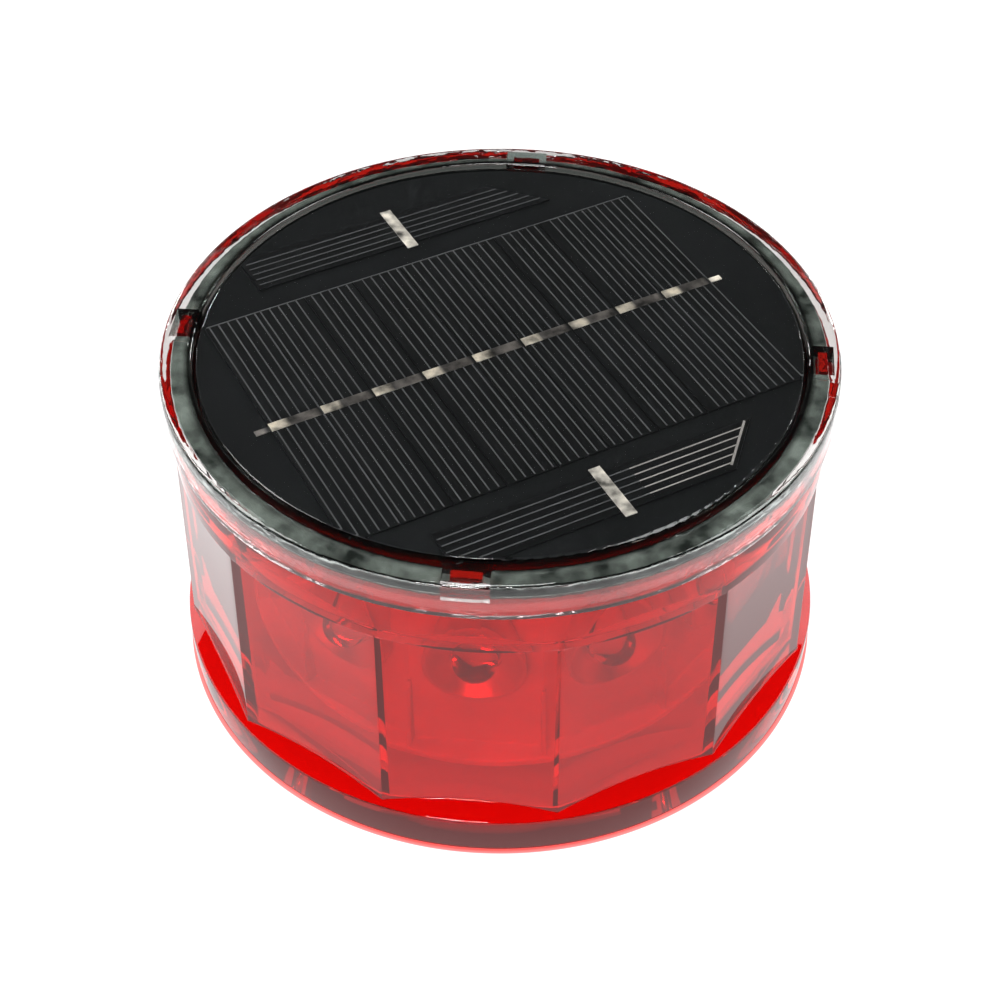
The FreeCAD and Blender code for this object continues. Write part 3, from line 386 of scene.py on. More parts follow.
# ==== The magnet under the floor ====
# A pot magnet: a nickel ring in a zinc-plated steel cup, held by a countersunk screw that turns into a knurled
# brass insert in the cup's floor.
def plated_metal(name, colour, roughness, grain=900, stretch=(1, 1, 1), bump=0.15):
    """Metal with fine grain in its gloss and faint stains in its colour."""
    material, tree, shader, _ = new_material(name)
    darker = tuple(part * 0.78 for part in colour)
    stains = object_noise(tree, grain * 0.15, detail=4.0)
    tree.links.new(blend_colours(tree, stains, darker, colour), shader.inputs["Base Color"])
    shader.inputs["Metallic"].default_value = 1.0
    fine = object_noise(tree, grain, detail=4.0, stretch=stretch)
    tree.links.new(blend_range(tree, fine, roughness * 0.7, roughness * 1.4), shader.inputs["Roughness"])
    add_bump(tree, shader, fine, bump, 0.05 * MM)
    return material


def coat_node(material, *names):
    """CAD pieces that keep their shape get a finish."""
    for name in names:
        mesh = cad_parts[name].data
        mesh.materials.clear()
        mesh.materials.append(material)


zinc = plated_metal("zinc_plated_steel", (0.62, 0.63, 0.65), 0.30)
coat_node(zinc, "magnet_cup", "magnet_screw", "drum_screws", "board_screws", "switch_nut")
coat_node(plated_metal("nickel_plating", (0.58, 0.56, 0.53), 0.16, bump=0.05), "magnet_ring")
coat_node(plated_metal("machined_brass", (0.72, 0.52, 0.22), 0.28, stretch=(1, 1, 8)), "threaded_insert")


# ==== The push switch under the floor ====
# A round black switch whose rubber-soft button is pushed up from below against a coil spring, which shortens with it.
# A hexagon nut holds it to the floor, with a gasket under its bezel.
def moulded_plastic(name, colour, roughness, grain=2600, bump=0.25, gloss=0.5):
    """Opaque moulded plastic with a fine spark-eroded grain and slightly uneven colour."""
    material, tree, shader, _ = new_material(name)
    lighter = tuple(min(1.0, part * 1.25 + 0.004) for part in colour)
    tree.links.new(blend_colours(tree, object_noise(tree, 70), colour, lighter), shader.inputs["Base Color"])
    fine = object_noise(tree, grain, detail=2.0)
    tree.links.new(blend_range(tree, fine, roughness * 0.85, roughness * 1.2), shader.inputs["Roughness"])
    shader.inputs["Specular IOR Level"].default_value = gloss
    add_bump(tree, shader, fine, bump, 0.03 * MM)
    return material


coat_node(moulded_plastic("switch_black", (0.02, 0.02, 0.022), 0.32), "switch_housing")
coat_node(moulded_plastic("soft_button", (0.05, 0.05, 0.052), 0.55), "switch_button")
spring_shape = bmesh.new()
spring_shape.from_mesh(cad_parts["switch_spring"].data)
bmesh.ops.remove_doubles(spring_shape, verts=spring_shape.verts, dist=0.001 * MM)
spring = shape_piece("spring", spring_shape)
paint(spring, zinc)
shade(spring)
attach(spring, "lamp")
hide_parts("switch_spring")
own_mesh(spring)

# The seal under the cover's rim is black rubber with light streaks up to mid grey, which paint the mottled light and
# glints seen through the rim.
black_rubber = moulded_plastic("black_rubber", (0.012, 0.012, 0.012), 0.6, gloss=0.35)
coat_node(black_rubber, "switch_gasket", "panel_tape")
glint_seal, glint_seal_tree, glint_seal_shader, _ = new_material("seal_with_painted_glints")
painted_glint_streaks = object_noise(glint_seal_tree, 230, detail=3.0)
painted_glint_tint = blend_colours(glint_seal_tree, painted_glint_streaks, (0.02, 0.022, 0.02), (0.34, 0.35, 0.33))
glint_seal_tree.links.new(painted_glint_tint, glint_seal_shader.inputs["Base Color"])
glint_seal_shader.inputs["Roughness"].default_value = 0.3
add_bump(glint_seal_tree, glint_seal_shader, painted_glint_streaks, 0.6, 0.2 * MM)
coat_node(glint_seal, "cover_seal")

tinned = plated_metal("tinned_copper", (0.80, 0.78, 0.73), 0.30, grain=1400, bump=0.5)
coat_node(tinned, "switch_terminals")


# ==== The LED drum ====
# A twelve-sided drum of grey plastic on a round foot. Each flat has a hole for one LED. Slim gussets brace every
# corner against the foot.
drum_low, drum_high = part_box("led_drum")
drum_flat = 43 * MM
drum_wall = 2.4 * MM
drum_foot_radius = 47 * MM
drum_foot_top = drum_low.z + 1.6 * MM
drum_round = 0.5 * MM
drum_bore = 34 * MM
shelf_low, shelf_high = 43.5 * MM, 45.5 * MM
led_hole_radius = 4.15 * MM
screw_hole_radius = 1.7 * MM
lamp_low, lamp_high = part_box("led_reflectors")
lamp_height = (lamp_low.z + lamp_high.z) / 2


def drum_outline(angle):
    """The drum's section, from its foot up the outside and down the inside."""
    wall = polygon_radius(angle, drum_flat, drum_round)
    inside = polygon_radius(angle, drum_flat - drum_wall, drum_round * (1 - drum_wall / drum_flat))
    return soften([
        (drum_bore, drum_low.z, 0),
        (drum_foot_radius, drum_low.z, 0.3 * MM),
        (drum_foot_radius, drum_foot_top, 0.5 * MM),
        (wall, drum_foot_top, 0.8 * MM),
        (wall, drum_high.z, 0.6 * MM),
        (inside, drum_high.z, 0.3 * MM),
        (inside, shelf_high, 0),
        (drum_bore, shelf_high, 0),
        (drum_bore, shelf_low, 0),
        (inside, shelf_low, 0),
        (inside, drum_foot_top, 0),
        (drum_bore, drum_foot_top, 0),
    ])


led_drum = turned_mesh("drum", polygon_angles(drum_flat, drum_round, across=16), drum_outline)
drum_holes = bmesh.new()
for side in range(SIDES):
    level = about_axis(FRONT_TURN + 2 * HALF_SIDE * side) @ Matrix.Translation((0, 0, lamp_height))
    lying = level @ Matrix.Rotation(QUARTER, 4, "Y")
    post_mesh(drum_holes, led_hole_radius, drum_flat - 5 * MM, drum_flat + 2 * MM, lying)
for angle in SCREW_ANGLES:
    post_mesh(drum_holes, screw_hole_radius, 6 * MM, 9.5 * MM, about_axis(angle, screw_circle))
carve(led_drum, shape_piece("drum_holes", drum_holes), "DIFFERENCE")
shade(led_drum)
drum_grey = moulded_plastic("drum_grey", (0.55, 0.55, 0.55), 0.28, grain=1500, bump=0.1)
paint(led_drum, drum_grey)
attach(led_drum, "lamp")
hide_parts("led_drum")


def node_link(tree, source, socket):
    """Joins two sockets of a geometry tree."""
    tree.links.new(source, socket)


def ring_tree():
    """Geometry Nodes: one piece repeated evenly about the Z axis."""
    tree = bpy.data.node_groups.new("repeat_about_axis", "GeometryNodeTree")
    tree.interface.new_socket("Geometry", in_out="INPUT", socket_type="NodeSocketGeometry")
    tree.interface.new_socket("Count", in_out="INPUT", socket_type="NodeSocketInt")
    tree.interface.new_socket("First Turn", in_out="INPUT", socket_type="NodeSocketFloat")
    tree.interface.new_socket("Material", in_out="INPUT", socket_type="NodeSocketMaterial")
    tree.interface.new_socket("Geometry", in_out="OUTPUT", socket_type="NodeSocketGeometry")
    given = tree.nodes.new("NodeGroupInput")
    result = tree.nodes.new("NodeGroupOutput")
    points = tree.nodes.new("GeometryNodePoints")
    index = tree.nodes.new("GeometryNodeInputIndex")
    share = tree.nodes.new("ShaderNodeMath")
    share.operation = "DIVIDE"
    turn = tree.nodes.new("ShaderNodeMath")
    turn.operation = "MULTIPLY_ADD"
    turn.inputs[1].default_value = 2 * math.pi
    euler = tree.nodes.new("ShaderNodeCombineXYZ")
    rotation = tree.nodes.new("FunctionNodeEulerToRotation")
    instances = tree.nodes.new("GeometryNodeInstanceOnPoints")
    realize = tree.nodes.new("GeometryNodeRealizeInstances")
    coating = tree.nodes.new("GeometryNodeSetMaterial")
    node_link(tree, given.outputs["Count"], points.inputs["Count"])
    node_link(tree, index.outputs["Index"], share.inputs[0])
    node_link(tree, given.outputs["Count"], share.inputs[1])
    node_link(tree, share.outputs["Value"], turn.inputs[0])
    node_link(tree, given.outputs["First Turn"], turn.inputs[2])
    node_link(tree, turn.outputs["Value"], euler.inputs["Z"])
    node_link(tree, euler.outputs["Vector"], rotation.inputs["Euler"])
    node_link(tree, points.outputs["Points"], instances.inputs["Points"])
    node_link(tree, given.outputs["Geometry"], instances.inputs["Instance"])
    node_link(tree, rotation.outputs["Rotation"], instances.inputs["Rotation"])
    node_link(tree, instances.outputs["Instances"], realize.inputs["Geometry"])
    node_link(tree, realize.outputs["Geometry"], coating.inputs["Geometry"])
    node_link(tree, given.outputs["Material"], coating.inputs["Material"])
    node_link(tree, coating.outputs["Geometry"], result.inputs["Geometry"])
    return tree


repeat_about_axis = ring_tree()


def repeat(piece, count, first_turn, material):
    """Repeats a piece about the Z axis and works the result into its mesh."""
    modifier = piece.modifiers.new("repeat", "NODES")
    modifier.node_group = repeat_about_axis
    sockets = {item.name: item.identifier for item in repeat_about_axis.interface.items_tree if item.in_out == "INPUT"}
    modifier[sockets["Count"]] = count
    modifier[sockets["First Turn"]] = first_turn
    modifier[sockets["Material"]] = material
    settle(piece)
    paint(piece, material)


gusset = bmesh.new()
drum_corner = drum_flat / math.cos(HALF_SIDE)
gusset_half = 0.35 * MM
gusset_low, gusset_high = drum_foot_top - 0.2 * MM, drum_foot_top + 17 * MM
gusset_corners = [
    (drum_corner - 0.8 * MM, gusset_low),
    (drum_foot_radius - 0.4 * MM, gusset_low),
    (drum_corner + 0.5 * MM, gusset_high),
    (drum_corner - 0.8 * MM, gusset_high),
]
near = [gusset.verts.new((x, -gusset_half, z)) for x, z in gusset_corners]
far = [gusset.verts.new((x, gusset_half, z)) for x, z in gusset_corners]
gusset.faces.new(near)
gusset.faces.new(far)
for index in range(4):
    after = (index + 1) % 4
    gusset.faces.new((near[index], near[after], far[after], far[index]))
bmesh.ops.bevel(gusset, geom=gusset.edges[:], offset=0.15 * MM, segments=2, affect="EDGES")
drum_gussets = shape_piece("drum_gussets", gusset)
chrome_like = plated_metal("vacuum_metallised", (0.86, 0.86, 0.86), 0.40, grain=500, bump=0.04)
repeat(drum_gussets, SIDES, FRONT_TURN + HALF_SIDE, drum_grey)
shade(drum_gussets)
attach(drum_gussets, "lamp")


# ==== The reflector cups and LEDs ====
# Twelve flared cups with a bright metallised inside, one in the middle of each flat, and a clear epoxy LED in each.
cup_back = 43.05 * MM
cup_front = cup_back + 3.2 * MM
cup_corners = [
    (cup_back, 4.5, 0),
    (cup_back, 8.2, 0),
    (cup_back + 1.2 * MM, 8.7, 0),
    (cup_front, 8.9, 0.25 * MM),
    (cup_front, 8.2, 0.25 * MM),
    (cup_front - 1.1 * MM, 6.9, 0.4 * MM),
    (cup_back + 0.9 * MM, 5.3, 0.3 * MM),
    (cup_back + 0.6 * MM, 4.5, 0),
]


def radial_piece(name, corners, segments=64):
    """A round piece about the level axis of one LED. Corners are (distance out, radius, rounding)."""
    outline = soften([(radius, out, rounding) for out, radius, rounding in corners])
    piece = turned_mesh(name, even_angles(segments), lambda angle: outline)
    upright = Matrix.Translation((0, 0, lamp_height)) @ Matrix.Rotation(QUARTER, 4, "Y")
    piece.data.transform(upright)
    return piece


reflectors = radial_piece("reflectors", [(out, radius * MM, rounding) for out, radius, rounding in cup_corners])
shade(reflectors)
repeat(reflectors, SIDES, FRONT_TURN, chrome_like)
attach(reflectors, "lamp")
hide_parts("led_reflectors")

led_back = 40.45 * MM
led_shoulder = 44.6 * MM
led_radius = 4 * MM
dome = [(led_back, 0, 0), (led_back, led_radius, 0.2 * MM)]
DOME_STEPS = 10
for step in range(DOME_STEPS + 1):
    lift = QUARTER * step / DOME_STEPS
    radius = 0.0 if step == DOME_STEPS else led_radius * math.cos(lift)
    dome.append((led_shoulder + led_radius * math.sin(lift), radius, 0))
leds = radial_piece("leds", dome, segments=40)
shade(leds, 40)
epoxy = clear_plastic("led_epoxy", (0.97, 0.95, 0.92), 1.5, 0.0, (0.02, 0.06), (0.9, 0.9, 0.9))
repeat(leds, SIDES, FRONT_TURN, epoxy)
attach(leds, "lamp")
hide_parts("led_lamps")


# ==== The boards and their parts ====
# Green circuit boards: a flexible strip behind the LEDs, and a round board at the drum's top that carries the chip,
# the coil, the capacitor and the plug of the panel's leads.
def board_finish(name, colour):
    """Solder mask over copper: faint tracks and a smooth gloss."""
    material, tree, shader, _ = new_material(name)
    tracks = tree.nodes.new("ShaderNodeTexVoronoi")
    tracks.feature = "DISTANCE_TO_EDGE"
    tracks.inputs["Scale"].default_value = 220
    place = tree.nodes.new("ShaderNodeTexCoord")
    tree.links.new(place.outputs["Object"], tracks.inputs["Vector"])
    lighter = tuple(part * 1.5 + 0.01 for part in colour)
    tree.links.new(blend_colours(tree, tracks.outputs["Distance"], lighter, colour), shader.inputs["Base Color"])
    tree.links.new(blend_range(tree, object_noise(tree, 600), 0.2, 0.4), shader.inputs["Roughness"])
    return material


coat_node(board_finish("green_mask", (0.008, 0.10, 0.035)), "led_strip", "control_board")
coat_node(moulded_plastic("chip_black", (0.015, 0.015, 0.016), 0.45), "control_chip")
coat_node(moulded_plastic("white_nylon", (0.72, 0.70, 0.64), 0.4), "panel_plug")
coat_node(moulded_plastic("ferrite", (0.05, 0.05, 0.052), 0.5), "charge_coil")
coat_node(moulded_plastic("blue_sleeve", (0.02, 0.03, 0.12), 0.25), "storage_capacitor")
coat_node(moulded_plastic("red_wire", (0.45, 0.01, 0.01), 0.35), "panel_lead_red", "battery_lead_red")
coat_node(moulded_plastic("black_wire", (0.01, 0.01, 0.01), 0.35), "panel_lead_black", "battery_lead_black")


# ==== The battery ====
# Three nickel-metal-hydride cells in plain green sleeves, joined by welded nickel strips, in a black tray on four
# legs.
coat_node(moulded_plastic("green_sleeve", (0.02, 0.12, 0.04), 0.22, bump=0.1),
          "battery_cell_1", "battery_cell_2", "battery_cell_3")
coat_node(plated_metal("nickel_strip", (0.70, 0.68, 0.64), 0.25), "battery_links")
coat_node(moulded_plastic("tray_black", (0.04, 0.04, 0.042), 0.4), "battery_tray")


# ==== The clear cover ====
# Clear polycarbonate cap: a skirt over the cup's neck, a thick rounded rim, a collar inside the neck and a recess for
# the panel. Four blind pockets under the rim take the snap hooks. The rim's grey tint is partly smoky plastic and
# partly painted shade, the skirt has a faint pink tint, and the near-black part under the panel is painted shade.
cover_low, cover_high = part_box("clear_cover")
cover_radius = (cover_high.x - cover_low.x) / 2
cover_top = cover_high.z
skirt_low = cover_low.z
skirt_inner = cover_radius - 2 * MM
rim_under = cover_top - 3.2 * MM
cover_under = cover_top - 5.2 * MM
recess_floor = cover_top - 3.6 * MM
recess_radius = 53.2 * MM
collar_inner, collar_outer = 52.2 * MM, 53.7 * MM
collar_low = skirt_low + 0.35 * MM
pocket_inner, pocket_outer = 54 * MM, 57.6 * MM
pocket_half_width = 3.8 * MM
lead_hole_radius = 3 * MM
lead_hole_out = 15 * MM
cover_corners = soften([
    (0, cover_under, 0),
    (collar_inner, cover_under, 0.2 * MM),
    (collar_inner, collar_low, 0.2 * MM),
    (collar_outer, collar_low, 0.2 * MM),
    (collar_outer, rim_under, 0.2 * MM),
    (skirt_inner, rim_under, 0.4 * MM),
    (skirt_inner, skirt_low, 0.15 * MM),
    (cover_radius, skirt_low, 0.3 * MM),
    (cover_radius, cover_top, 1.2 * MM),
    (recess_radius, cover_top, 0.7 * MM),
    (recess_radius, recess_floor, 0.2 * MM),
    (0, recess_floor, 0),
], steps=6)
clear_cover = turned_mesh("cover", even_angles(360), lambda angle: cover_corners)
pockets = bmesh.new()
for angle in HOOK_ANGLES:
    block_mesh(pockets, (pocket_inner, -pocket_half_width, rim_under - 1 * MM),
               (pocket_outer, pocket_half_width, cover_top - 0.8 * MM), about_axis(angle))
post_mesh(pockets, lead_hole_radius, cover_under - 1 * MM, recess_floor + 1 * MM,
          about_axis(FRONT_TURN, lead_hole_out))
carve(clear_cover, shape_piece("cover_pockets", pockets), "DIFFERENCE")
shade(clear_cover)
clear_finish = clear_plastic("clear_polycarbonate", (0.97, 0.98, 0.975), 1.585, 0.8, (0.0, 0.03),
                             (0.93, 0.94, 0.93), ripple_scale=170, ripple_detail=2.5)
# The rim's grey tint is partly smoky plastic and partly painted shade; below the rim the tint is faint pink.
smoke_and_shade_tree = clear_finish.node_tree
smoke_and_shade_place = smoke_and_shade_tree.nodes.new("ShaderNodeTexCoord")
smoke_and_shade_split = smoke_and_shade_tree.nodes.new("ShaderNodeSeparateXYZ")
smoke_and_shade_height = smoke_and_shade_tree.nodes.new("ShaderNodeMapRange")
smoke_and_shade_height.inputs["From Min"].default_value = rim_under - 1.2 * MM
smoke_and_shade_height.inputs["From Max"].default_value = rim_under + 0.4 * MM
smoke_and_shade_tree.links.new(smoke_and_shade_place.outputs["Object"], smoke_and_shade_split.inputs["Vector"])
smoke_and_shade_tree.links.new(smoke_and_shade_split.outputs["Z"], smoke_and_shade_height.inputs["Value"])
smoke_and_shade_tint = blend_colours(smoke_and_shade_tree, smoke_and_shade_height.outputs["Result"], (0.92, 0.78, 0.78), (0.42, 0.46, 0.44))
# Painted shade: inside the collar's outer face the clear plastic is near black.
painted_shade_level = smoke_and_shade_tree.nodes.new("ShaderNodeVectorMath")
painted_shade_level.operation = "MULTIPLY"
painted_shade_level.inputs[1].default_value = (1, 1, 0)
painted_shade_radius = smoke_and_shade_tree.nodes.new("ShaderNodeVectorMath")
painted_shade_radius.operation = "LENGTH"
painted_shade_edge = smoke_and_shade_tree.nodes.new("ShaderNodeMapRange")
painted_shade_edge.inputs["From Min"].default_value = collar_outer + 0.2 * MM
painted_shade_edge.inputs["From Max"].default_value = collar_outer + 1.3 * MM
painted_shade_mix = smoke_and_shade_tree.nodes.new("ShaderNodeMix")
painted_shade_mix.data_type = "RGBA"
smoke_and_shade_tree.links.new(smoke_and_shade_place.outputs["Object"], painted_shade_level.inputs[0])
smoke_and_shade_tree.links.new(painted_shade_level.outputs["Vector"], painted_shade_radius.inputs[0])
smoke_and_shade_tree.links.new(painted_shade_radius.outputs["Value"], painted_shade_edge.inputs["Value"])
smoke_and_shade_tree.links.new(painted_shade_edge.outputs["Result"], painted_shade_mix.inputs["Factor"])
painted_shade_mix.inputs[6].default_value = (0.008, 0.009, 0.008, 1)
smoke_and_shade_tree.links.new(smoke_and_shade_tint, painted_shade_mix.inputs[7])
smoke_and_shade_tree.links.new(painted_shade_mix.outputs[2], smoke_and_shade_tree.nodes["Principled BSDF"].inputs["Base Color"])
paint(clear_cover, clear_finish)
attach(clear_cover, "lamp")
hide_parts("clear_cover")


# ==== The solar panel ====
# A black circuit board with nine silicon cells in a slanting row and one more on each side, under clear resin. Tinned
# ribbon joins the cells, and fine silver lines are printed on them; part of the lines on the front side cell and one
# end line are in a lighter copy of the silver, a painted highlight.
board_black, board_tree, board_shader, _ = new_material("panel_black")
board_tint = blend_colours(board_tree, object_noise(board_tree, 25), (0.002, 0.0023, 0.0024), (0.005, 0.0055, 0.0058))
board_tree.links.new(board_tint, board_shader.inputs["Base Color"])
board_grain = blend_range(board_tree, object_noise(board_tree, 1500), 0.45, 0.6)
board_tree.links.new(board_grain, board_shader.inputs["Roughness"])
board_shader.inputs["Specular IOR Level"].default_value = 0.05
coat_node(board_black, "solar_board")

silicon, cell_tree, cell_shader, _ = new_material("silicon_cell")
cell_tint = blend_colours(cell_tree, object_noise(cell_tree, 40), (0.0008, 0.0009, 0.0010), (0.0016, 0.0018, 0.0021))
cell_tree.links.new(cell_tint, cell_shader.inputs["Base Color"])
cell_tree.links.new(blend_range(cell_tree, object_noise(cell_tree, 2500), 0.3, 0.45), cell_shader.inputs["Roughness"])
cell_shader.inputs["Specular IOR Level"].default_value = 0.15
coat_node(silicon, *[f"solar_cell_{number}" for number in range(1, 10)], "rear_side_cell", "front_side_cell")

resin = clear_plastic("panel_resin_clear", (0.97, 0.98, 0.98), 1.5, 0.02, (0.0, 0.015), (0.95, 0.95, 0.95))
coat_node(resin, "panel_resin")

ROW_TURN = math.radians(27.7)
cell_pitch = 9.53 * MM
row_start = -43.9 * MM
finger_pitch = 1.707 * MM
finger_width = 0.24 * MM
finger_thick = 0.02 * MM
cell_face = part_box("solar_cell_5")[1].z
finger_front = -31.5 * MM
finger_rear = 27.7 * MM
FIRST_FINGERS = [0.83, 0.97, 1.3, 1.76, 0.45, 1.08, 1.58, 2.25, 0.87]
FINGER_COUNTS = [6, 5, 5, 5, 6, 5, 5, 5, 6]

ribbon, ribbon_tree, ribbon_shader, _ = new_material("soldered_ribbon")
ribbon_place = ribbon_tree.nodes.new("ShaderNodeTexCoord")
along_row = ribbon_tree.nodes.new("ShaderNodeVectorMath")
along_row.operation = "DOT_PRODUCT"
along_row.inputs[1].default_value = (math.cos(ROW_TURN) / cell_pitch, math.sin(ROW_TURN) / cell_pitch, 0)
from_start = ribbon_tree.nodes.new("ShaderNodeMath")
from_start.operation = "SUBTRACT"
from_start.inputs[1].default_value = row_start / cell_pitch
in_cell = ribbon_tree.nodes.new("ShaderNodeMath")
in_cell.operation = "FRACT"
solder = ribbon_tree.nodes.new("ShaderNodeValToRGB")
solder.color_ramp.elements[0].position = 0.0
solder.color_ramp.elements[0].color = (0.80, 0.74, 0.62, 1)
solder.color_ramp.elements[1].position = 0.95
solder.color_ramp.elements[1].color = (0.02, 0.02, 0.02, 1)
SOLDER_BANDS = [(0.30, (0.72, 0.66, 0.55, 1)), (0.38, (0.14, 0.13, 0.12, 1)), (0.86, (0.22, 0.20, 0.18, 1))]
for position, tint in SOLDER_BANDS:
    solder.color_ramp.elements.new(position).color = tint
ribbon_tree.links.new(ribbon_place.outputs["Object"], along_row.inputs[0])
ribbon_tree.links.new(along_row.outputs["Value"], from_start.inputs[0])
ribbon_tree.links.new(from_start.outputs["Value"], in_cell.inputs[0])
ribbon_tree.links.new(in_cell.outputs["Value"], solder.inputs["Fac"])
solder_stains = blend_colours(ribbon_tree, object_noise(ribbon_tree, 380), (0.10, 0.10, 0.10), (1, 1, 1))
solder_mix = ribbon_tree.nodes.new("ShaderNodeVectorMath")
solder_mix.operation = "MULTIPLY"
ribbon_tree.links.new(solder.outputs["Color"], solder_mix.inputs[0])
ribbon_tree.links.new(solder_stains, solder_mix.inputs[1])
ribbon_tree.links.new(solder_mix.outputs["Vector"], ribbon_shader.inputs["Base Color"])
ribbon_shader.inputs["Metallic"].default_value = 0.3
ribbon_shader.inputs["Roughness"].default_value = 0.4
add_bump(ribbon_tree, ribbon_shader, object_noise(ribbon_tree, 900), 0.6, 0.1 * MM)
coat_node(ribbon, "row_ribbons")
light_tin, tin_tree, tin_shader, _ = new_material("solder_coated_tail")
tin_stains = blend_colours(tin_tree, object_noise(tin_tree, 420), (0.05, 0.048, 0.042), (0.78, 0.74, 0.66))
tin_tree.links.new(tin_stains, tin_shader.inputs["Base Color"])
tin_shader.inputs["Roughness"].default_value = 0.35
add_bump(tin_tree, tin_shader, object_noise(tin_tree, 900), 0.6, 0.1 * MM)
coat_node(light_tin, "rear_cell_ribbon", "front_cell_ribbon")


def finger_tree():
    """Geometry Nodes: parallel printed lines on a cell."""
    tree = bpy.data.node_groups.new("printed_fingers", "GeometryNodeTree")
    tree.interface.new_socket("Geometry", in_out="INPUT", socket_type="NodeSocketGeometry")
    for name, kind in (("Count", "NodeSocketInt"), ("Start", "NodeSocketVector"), ("Step", "NodeSocketVector"),
                       ("Line Size", "NodeSocketVector"), ("Material", "NodeSocketMaterial")):
        tree.interface.new_socket(name, in_out="INPUT", socket_type=kind)
    tree.interface.new_socket("Geometry", in_out="OUTPUT", socket_type="NodeSocketGeometry")
    given = tree.nodes.new("NodeGroupInput")
    result = tree.nodes.new("NodeGroupOutput")
    line = tree.nodes.new("GeometryNodeMeshLine")
    cube = tree.nodes.new("GeometryNodeMeshCube")
    instances = tree.nodes.new("GeometryNodeInstanceOnPoints")
    realize = tree.nodes.new("GeometryNodeRealizeInstances")
    coating = tree.nodes.new("GeometryNodeSetMaterial")
    node_link(tree, given.outputs["Count"], line.inputs["Count"])
    node_link(tree, given.outputs["Start"], line.inputs["Start Location"])
    node_link(tree, given.outputs["Step"], line.inputs["Offset"])
    node_link(tree, given.outputs["Line Size"], cube.inputs["Size"])
    node_link(tree, line.outputs["Mesh"], instances.inputs["Points"])
    node_link(tree, cube.outputs["Mesh"], instances.inputs["Instance"])
    node_link(tree, instances.outputs["Instances"], realize.inputs["Geometry"])
    node_link(tree, realize.outputs["Geometry"], coating.inputs["Geometry"])
    node_link(tree, given.outputs["Material"], coating.inputs["Material"])
    node_link(tree, coating.outputs["Geometry"], result.inputs["Geometry"])
    return tree


printed_fingers = finger_tree()
finger_silver = moulded_plastic("screen_printed_silver", (0.030, 0.031, 0.032), 0.5, grain=3000)
# Painted highlight: a lighter copy of the printed silver.
highlit_silver = moulded_plastic("printed_silver_painted_highlight", (0.16, 0.15, 0.14), 0.4, grain=3000)
finger_parts = []
highlight_parts = []


def print_fingers(count, start, step, line_size, parts=finger_parts):
    """Parallel lines as a mesh in the row's own directions."""
    carrier = bpy.data.objects.new("fingers", bpy.data.meshes.new("fingers"))
    bpy.context.scene.collection.objects.link(carrier)
    modifier = carrier.modifiers.new("print", "NODES")
    modifier.node_group = printed_fingers
    sockets = {item.name: item.identifier for item in printed_fingers.interface.items_tree if item.in_out == "INPUT"}
    modifier[sockets["Count"]] = count
    modifier[sockets["Start"]] = start
    modifier[sockets["Step"]] = step
    modifier[sockets["Line Size"]] = line_size
    modifier[sockets["Material"]] = finger_silver
    settle(carrier)
    parts.append(carrier)


finger_level = cell_face + finger_thick / 2
finger_length = finger_rear - finger_front
for number, (first, count) in enumerate(zip(FIRST_FINGERS, FINGER_COUNTS)):
    start = row_start + cell_pitch * number + first * MM
    print_fingers(count, (start, (finger_front + finger_rear) / 2, finger_level), (finger_pitch, 0, 0),
                  (finger_width, finger_length, finger_thick))
row_end = row_start + len(FINGER_COUNTS) * cell_pitch
print_fingers(1, ((row_start + row_end) / 2, finger_rear + 0.2 * MM, finger_level), (0, 0, 0),
              (row_end - row_start - 0.6 * MM, finger_width, finger_thick))
SIDE_FINGERS = 5
side_pitch = 1.62 * MM
side_slant = 0.95
rear_start, rear_side = -30.5 * MM, 41.4 * MM
front_start, front_side = -30.9 * MM, -37.6 * MM
# Painted highlight: the front side cell's lines are lighter from here on.
highlight_from = 4 * MM


def side_line(start, end, across, parts=finger_parts):
    """One printed line along a side cell."""
    print_fingers(1, ((start + end) / 2, across, finger_level), (0, 0, 0),
                  (end - start, finger_width, finger_thick), parts)


for number in range(SIDE_FINGERS):
    across = number * side_pitch
    side_line(rear_start, 20.8 * MM + across * side_slant, rear_side - across)
    side_line(front_start, highlight_from, front_side - across)
    side_line(highlight_from, 25.8 * MM - across * side_slant, front_side - across, highlight_parts)


def join_pieces(name, pieces):
    """Several meshes as one piece."""
    shape = bmesh.new()
    for part in pieces:
        shape.from_mesh(part.data)
    for part in pieces:
        bpy.data.objects.remove(part)
    mesh = bpy.data.meshes.new(name)
    shape.to_mesh(mesh)
    shape.free()
    piece = bpy.data.objects.new(name, mesh)
    bpy.context.scene.collection.objects.link(piece)
    return piece


cell_fingers = join_pieces("cell_fingers", finger_parts)
paint(cell_fingers, finger_silver)
cell_fingers.data.transform(Matrix.Rotation(ROW_TURN, 4, "Z"))
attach(cell_fingers, "lamp")

# The end line is in the lighter silver, a painted highlight.
end_line = bmesh.new()
end_slant = math.atan2(-8.4, -8)
end_half_length, end_half_width = 5.6 * MM, 0.2 * MM
end_place = Matrix.Translation((23 * MM, -40.5 * MM, finger_level)) @ Matrix.Rotation(end_slant, 4, "Z")
block_mesh(end_line, (-end_half_length, -end_half_width, -finger_thick / 2),
           (end_half_length, end_half_width, finger_thick / 2), end_place)
highlight_parts.append(shape_piece("end_line", end_line))
highlit_fingers = join_pieces("highlit_fingers", highlight_parts)
paint(highlit_fingers, highlit_silver)
highlit_fingers.data.transform(Matrix.Rotation(ROW_TURN, 4, "Z"))
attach(highlit_fingers, "lamp")


